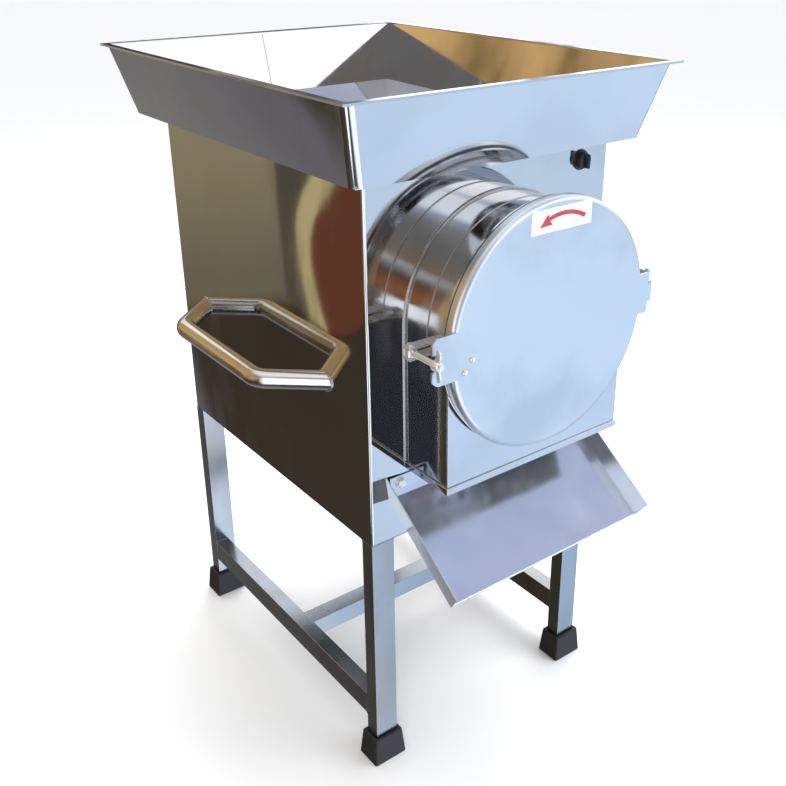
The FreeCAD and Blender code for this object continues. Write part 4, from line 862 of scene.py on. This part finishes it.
def cover_fittings():
    """Domed rivets, and the red curved arrow raised on the white plate."""
    low, high = corners("cover_rivets")
    size = RIVET_RADIUS
    spots = [(low[0] + size, low[2] + size), (high[0] - size, high[2] - size)]
    piece("rivet_heads", [dome((x, high[1] + 0.05 * MM, z), (0, -1, 0), size,
                               high[1] - low[1], RIVET_FOOT) for x, z in spots],
          COVER, "cover_steel", ("cover_rivets",), "bright_fittings")
    low, high = corners("arrow_plate")
    wide, tall = high[0] - low[0], high[2] - low[2]
    middle = np.array([low[0] + 0.53 * wide, high[2] - 0.30 * tall - ARROW_BOW])
    half = ARROW_BAND * tall

    def spot(angle, radius):
        turn = math.radians(angle)
        return middle + radius * np.array([math.sin(turn), math.cos(turn)])
    sweep = np.linspace(ARROW_TAIL, ARROW_NECK, 16)
    outer = [spot(a, ARROW_BOW + half) for a in sweep]
    inner = [spot(a, ARROW_BOW - half) for a in sweep[::-1]]
    head = [spot(a, ARROW_BOW + share * tall) for a, share in ARROW_HEAD]
    flat = np.array(outer + head + inner)

    def at(y):
        return np.column_stack([flat[:, 0], np.full(len(flat), y), flat[:, 1]])
    face = low[1]
    piece("arrow_print", [skin_over([at(face + 0.05 * MM), at(face - 0.25 * MM)])], COVER,
          "plate_print", finish="arrow_red", crease=20)


cover_fittings()
softened("arrow_plate", 0.25 * MM, segments=2)


NUT_HUB, NUT_BORE, NUT_TALL = 7.4 * MM, 4.0 * MM, 11 * MM
WING_THICK, WING_WIDE, WING_SWELL, WING_TIP = 4.0 * MM, 9.0 * MM, 1.2 * MM, 0.2 * MM
WING_FOOT, WING_LIFT = 4.5 * MM, 1.5 * MM


def wing_nut():
    """A turned hub with a wing up and a wing down, each wing a rounded blade that leans forward.

    Along a blade, from 0 at the hub to 1 at its end, the lean grows as the power 1.5, the width
    swells by half a sine wave, and width and thickness close as 1 less the power 6 and 8.
    """
    low, high = corners("wing_nut")
    x, z, back = (low[0] + high[0]) / 2, (low[2] + high[2]) / 2, high[1]
    deep, reach = high[1] - low[1], (high[2] - low[2]) / 2
    profile = [(NUT_BORE, 0), (NUT_HUB - 0.5 * MM, 0), (NUT_HUB, 0.6 * MM), (NUT_HUB, 2.2 * MM),
               (NUT_HUB - 1.2 * MM, NUT_TALL - 1.2 * MM), (NUT_HUB - 2.2 * MM, NUT_TALL),
               (NUT_BORE, NUT_TALL)]
    forms = [turned((x, back, z), (0, -1, 0), profile + profile[:1])]
    turn = np.linspace(0, 2 * math.pi, 20, endpoint=False)
    across = np.sign(np.cos(turn)) * np.abs(np.cos(turn)) ** 0.7 / 2
    along = np.sign(np.sin(turn)) * np.abs(np.sin(turn)) ** 0.7 / 2
    lean = deep - WING_WIDE - WING_LIFT - 1.0 * MM
    for way in (1, -1):
        blade = []
        for share in np.linspace(0, 1, 14):
            out = WING_FOOT + share * (reach - WING_FOOT)
            near = WING_LIFT + lean * share ** 1.5
            swollen = WING_WIDE + WING_SWELL * math.sin(math.pi * share)
            wide = swollen * (1 - share ** 6) + WING_TIP
            slim = WING_THICK * (1 - 0.25 * share) * (1 - share ** 8) + WING_TIP
            blade.append(np.column_stack([x + across * slim, back - near - wide / 2 + along * wide,
                                          np.full(len(turn), z + way * out)]))
        forms.append(skin_over(blade))
    piece("wing_nut_cast", forms, "wing", "bright_fittings", ("wing_nut",), crease=40)


wing_nut()
for node in ("latch_fork", "hinge_lugs"):
    softened(node, 0.8 * MM, crease=50)


THREAD_ROD, THREAD_PITCH, THREAD_RISE, THREAD_LONG = 4.0 * MM, 1.25 * MM, 0.35 * MM, 34 * MM


def latch_thread():
    """The bolt's thread: ridges cut square to its axis, one per pitch, from the nut to its end."""
    low, high = corners("swing_bolt")
    x, z = (low[0] + high[0]) / 2, (low[2] + high[2]) / 2
    start, end = low[1] + 0.3 * MM, low[1] + THREAD_LONG
    count = int((end - start) / THREAD_PITCH)
    root = THREAD_ROD - THREAD_RISE
    profile = [(0, 0)]
    for turn in range(count):
        far = turn * THREAD_PITCH
        profile += [(root, far), (THREAD_ROD + 0.02 * MM, far + 0.45 * THREAD_PITCH),
                    (root, far + 0.9 * THREAD_PITCH)]
    profile.append((0, count * THREAD_PITCH))
    piece("latch_thread", [turned((x, start, z), (0, 1, 0), profile, 28)], "latch_bolt",
          "bright_fittings")


latch_thread()


# ------------------------------------------------------------------ chute

softened("chute_tray", 0.45 * MM)


CHUTE_SLOPE = math.radians(35.5)
CHUTE_SHEET, CHUTE_FLARE, CHUTE_WALL = 2 * MM, 5 * MM, 28 * MM
HEM_RADIUS = 1.3 * MM
WASHER_RADIUS, WASHER_THICK = 8.5 * MM, 1.4 * MM
BOLT_RADIUS, BOLT_TALL = 7.2 * MM, 3.6 * MM


def chute_trim():
    """The hem rolled along the tray's front edge, and a washer and a six-sided head per bolt."""
    low, high = corners("chute_tray")
    floor_x = high[0] - CHUTE_FLARE - CHUTE_SHEET
    y = low[1] + CHUTE_WALL * math.sin(CHUTE_SLOPE) + HEM_RADIUS
    z = low[2] + CHUTE_SHEET * math.cos(CHUTE_SLOPE) + HEM_RADIUS * 0.4
    hem = bead(dense([(-floor_x, y, z), (floor_x, y, z)], 6 * MM), (0, 0, 1), HEM_RADIUS,
               ripple=0.0)
    # The hem wears the brighter edge steel, which paints on its white highlight.
    piece("chute_hem", [hem], FRAME, "chute_steel", finish="edge_highlight_steel")
    low, high = corners("chute_bolts")
    z = (low[2] + high[2]) / 2
    forms = []
    for x in (low[0] + WASHER_RADIUS, high[0] - WASHER_RADIUS):
        forms.append(turned((x, high[1], z), (0, -1, 0),
                            [(0, 0), (WASHER_RADIUS, 0), (WASHER_RADIUS, 0.9 * MM),
                             (WASHER_RADIUS - 0.5 * MM, WASHER_THICK), (0, WASHER_THICK)]))
        forms.append(turned((x, high[1] - WASHER_THICK, z), (0, -1, 0),
                            [(0, 0), (BOLT_RADIUS * 0.93, 0), (BOLT_RADIUS, 0.4 * MM),
                             (BOLT_RADIUS, BOLT_TALL - 0.8 * MM), (BOLT_RADIUS * 0.88, BOLT_TALL),
                             (0, BOLT_TALL)], 6, 0.4))
    piece("chute_bolt_heads", forms, FRAME, "bright_fittings", ("chute_bolts",), crease=25)


chute_trim()


# ------------------------------------------------------------------ handles, switch, rear

# A handle's tube meets the panel at a slant, so its foot is this much longer than it is high.
FOOT_STRETCH = 1.27


def handle_welds():
    """A bead round each foot of the handles, where the tube meets the side panel."""
    turn = np.linspace(0, 2 * math.pi, 90, endpoint=False)
    for side in ("left", "right"):
        low, high = corners("handle_" + side)
        x = high[0] - 0.4 * MM if side == "left" else low[0] + 0.4 * MM
        z = (low[2] + high[2]) / 2
        tube = (high[2] - low[2]) / 2
        half = tube * FOOT_STRETCH
        forms = []
        for y in (low[1] + half + 0.4 * MM, high[1] - half - 0.4 * MM):
            path = np.column_stack([np.full(len(turn), x), y + np.cos(turn) * half,
                                    z + np.sin(turn) * tube])
            forms.append(bead(path, (1, 0, 0), 2.0 * MM, True, 0.2, 5 * MM))
        piece(f"handle_welds_{side}", forms, FRAME, "handle_steel", finish="weld_steel")


handle_welds()


def switch_parts():
    """The knob with a finger grip and a pale pointer line."""
    low, high = corners("switch_knob")
    x, z, back = (low[0] + high[0]) / 2, (low[2] + high[2]) / 2, high[1]
    deep, radius = high[1] - low[1], (high[0] - low[0]) / 2
    around = 96
    turn = np.linspace(0, 2 * math.pi, around, endpoint=False)
    flute = 1 - 0.035 * (0.5 + 0.5 * np.cos(turn * 24))
    rings = []
    for share, far in ((0.0, 0.0), (0.96, 0.0), (1.0, 0.05), (1.0, 0.42), (0.94, 0.50),
                       (0.60, 0.52), (0.0, 0.52)):
        size = radius * share * (flute if 0.95 < share else 1)
        rings.append(np.column_stack([x + np.cos(turn) * size, np.full(around, back - far * deep),
                                      z + np.sin(turn) * size]))
    grip = []
    for share, wide in ((0.45, 5.4), (0.90, 4.8), (0.97, 4.2), (1.0, 3.0)):
        length = radius * (0.97 - 0.06 * share)
        flat = np.column_stack([
            np.sign(np.cos(turn)) * np.abs(np.cos(turn)) ** 0.5 * wide * MM / 2,
            np.zeros(around), np.sign(np.sin(turn)) * np.abs(np.sin(turn)) ** 0.5 * length])
        grip.append(flat + [x, back - share * deep, z])
    piece("switch_knob_grip", [skin_over(rings), skin_over(grip)], "switch", "black_plastic",
          ("switch_knob",), crease=35)
    mark = slab([(x - 0.6 * MM, z + 2 * MM), (x + 0.6 * MM, z + 2 * MM),
                 (x + 0.6 * MM, z + 9 * MM), (x - 0.6 * MM, z + 9 * MM)],
                low[1], low[1] + 0.6 * MM, 0.1 * MM)
    piece("switch_pointer", [mark], "switch", "black_plastic", finish="pointer_white")


switch_parts()


def rear_fixings():
    """Pan-head screws with a round socket, and the ribbed nut of the cable gland."""
    low, high = corners("rear_panel_screws")
    source = NODES["rear_panel_screws"]
    spots = {}
    points = np.array([v.co for v in source.data.vertices])
    for x in (low[0], (low[0] + high[0]) / 2, high[0]):
        for z in (low[2], (low[2] + high[2]) / 2, high[2]):
            near = points[np.hypot(points[:, 0] - x, points[:, 2] - z) < 12 * MM]
            if len(near):
                middle = (near.min(0) + near.max(0)) / 2
                spots[(round(middle[0], 4), round(middle[2], 4))] = (near.max(0) - near.min(0))[0]
    forms = []
    for (x, z), size in spots.items():
        head, tall = size / 2, high[1] - low[1]
        six = head * 0.45
        profile = [(0, 0), (head, 0), (head, tall * 0.35), (head * 0.9, tall * 0.75),
                   (head * 0.62, tall), (six, tall), (six * 0.98, tall * 0.45), (0, tall * 0.45)]
        forms.append(turned((x, low[1], z), (0, 1, 0), profile, 36))
    piece("rear_screw_heads", forms, FRAME, "bright_fittings", ("rear_panel_screws",), crease=28)
    low, high = corners("cable_gland")
    x, z = (low[0] + high[0]) / 2, (low[2] + high[2]) / 2
    start, radius = corners("rear_panel")[1][1], (high[0] - low[0]) / 2
    around = 96
    turn = np.linspace(0, 2 * math.pi, around, endpoint=False)
    rib = 1 - 0.06 * (0.5 + 0.5 * np.cos(turn * 16))
    bore = radius * 0.5
    rings = []
    long = high[1] - start
    for size, far, ribbed in ((bore, 0.6, 0), (bore, 0.0, 0), (radius, 0.0, 0), (radius, 0.30, 0),
                              (radius * 0.9, 0.34, 0), (radius * 0.99, 0.38, 1),
                              (radius * 0.99, 0.75, 1), (radius * 0.80, 0.95, 1),
                              (radius * 0.62, 1.0, 0), (bore, 0.97, 0)):
        wave = rib if ribbed else 1
        rings.append(np.column_stack([x + np.cos(turn) * size * wave,
                                      np.full(around, start + far * long),
                                      z + np.sin(turn) * size * wave]))
    piece("cable_gland_nut", [skin_over(rings, True)], FRAME, "black_plastic", (), crease=35)


rear_fixings()

for node in ("bearing_bridge", "bearing_blocks", "motor_plate", "base_bars"):
    softened(node, 0.8 * MM, crease=50)
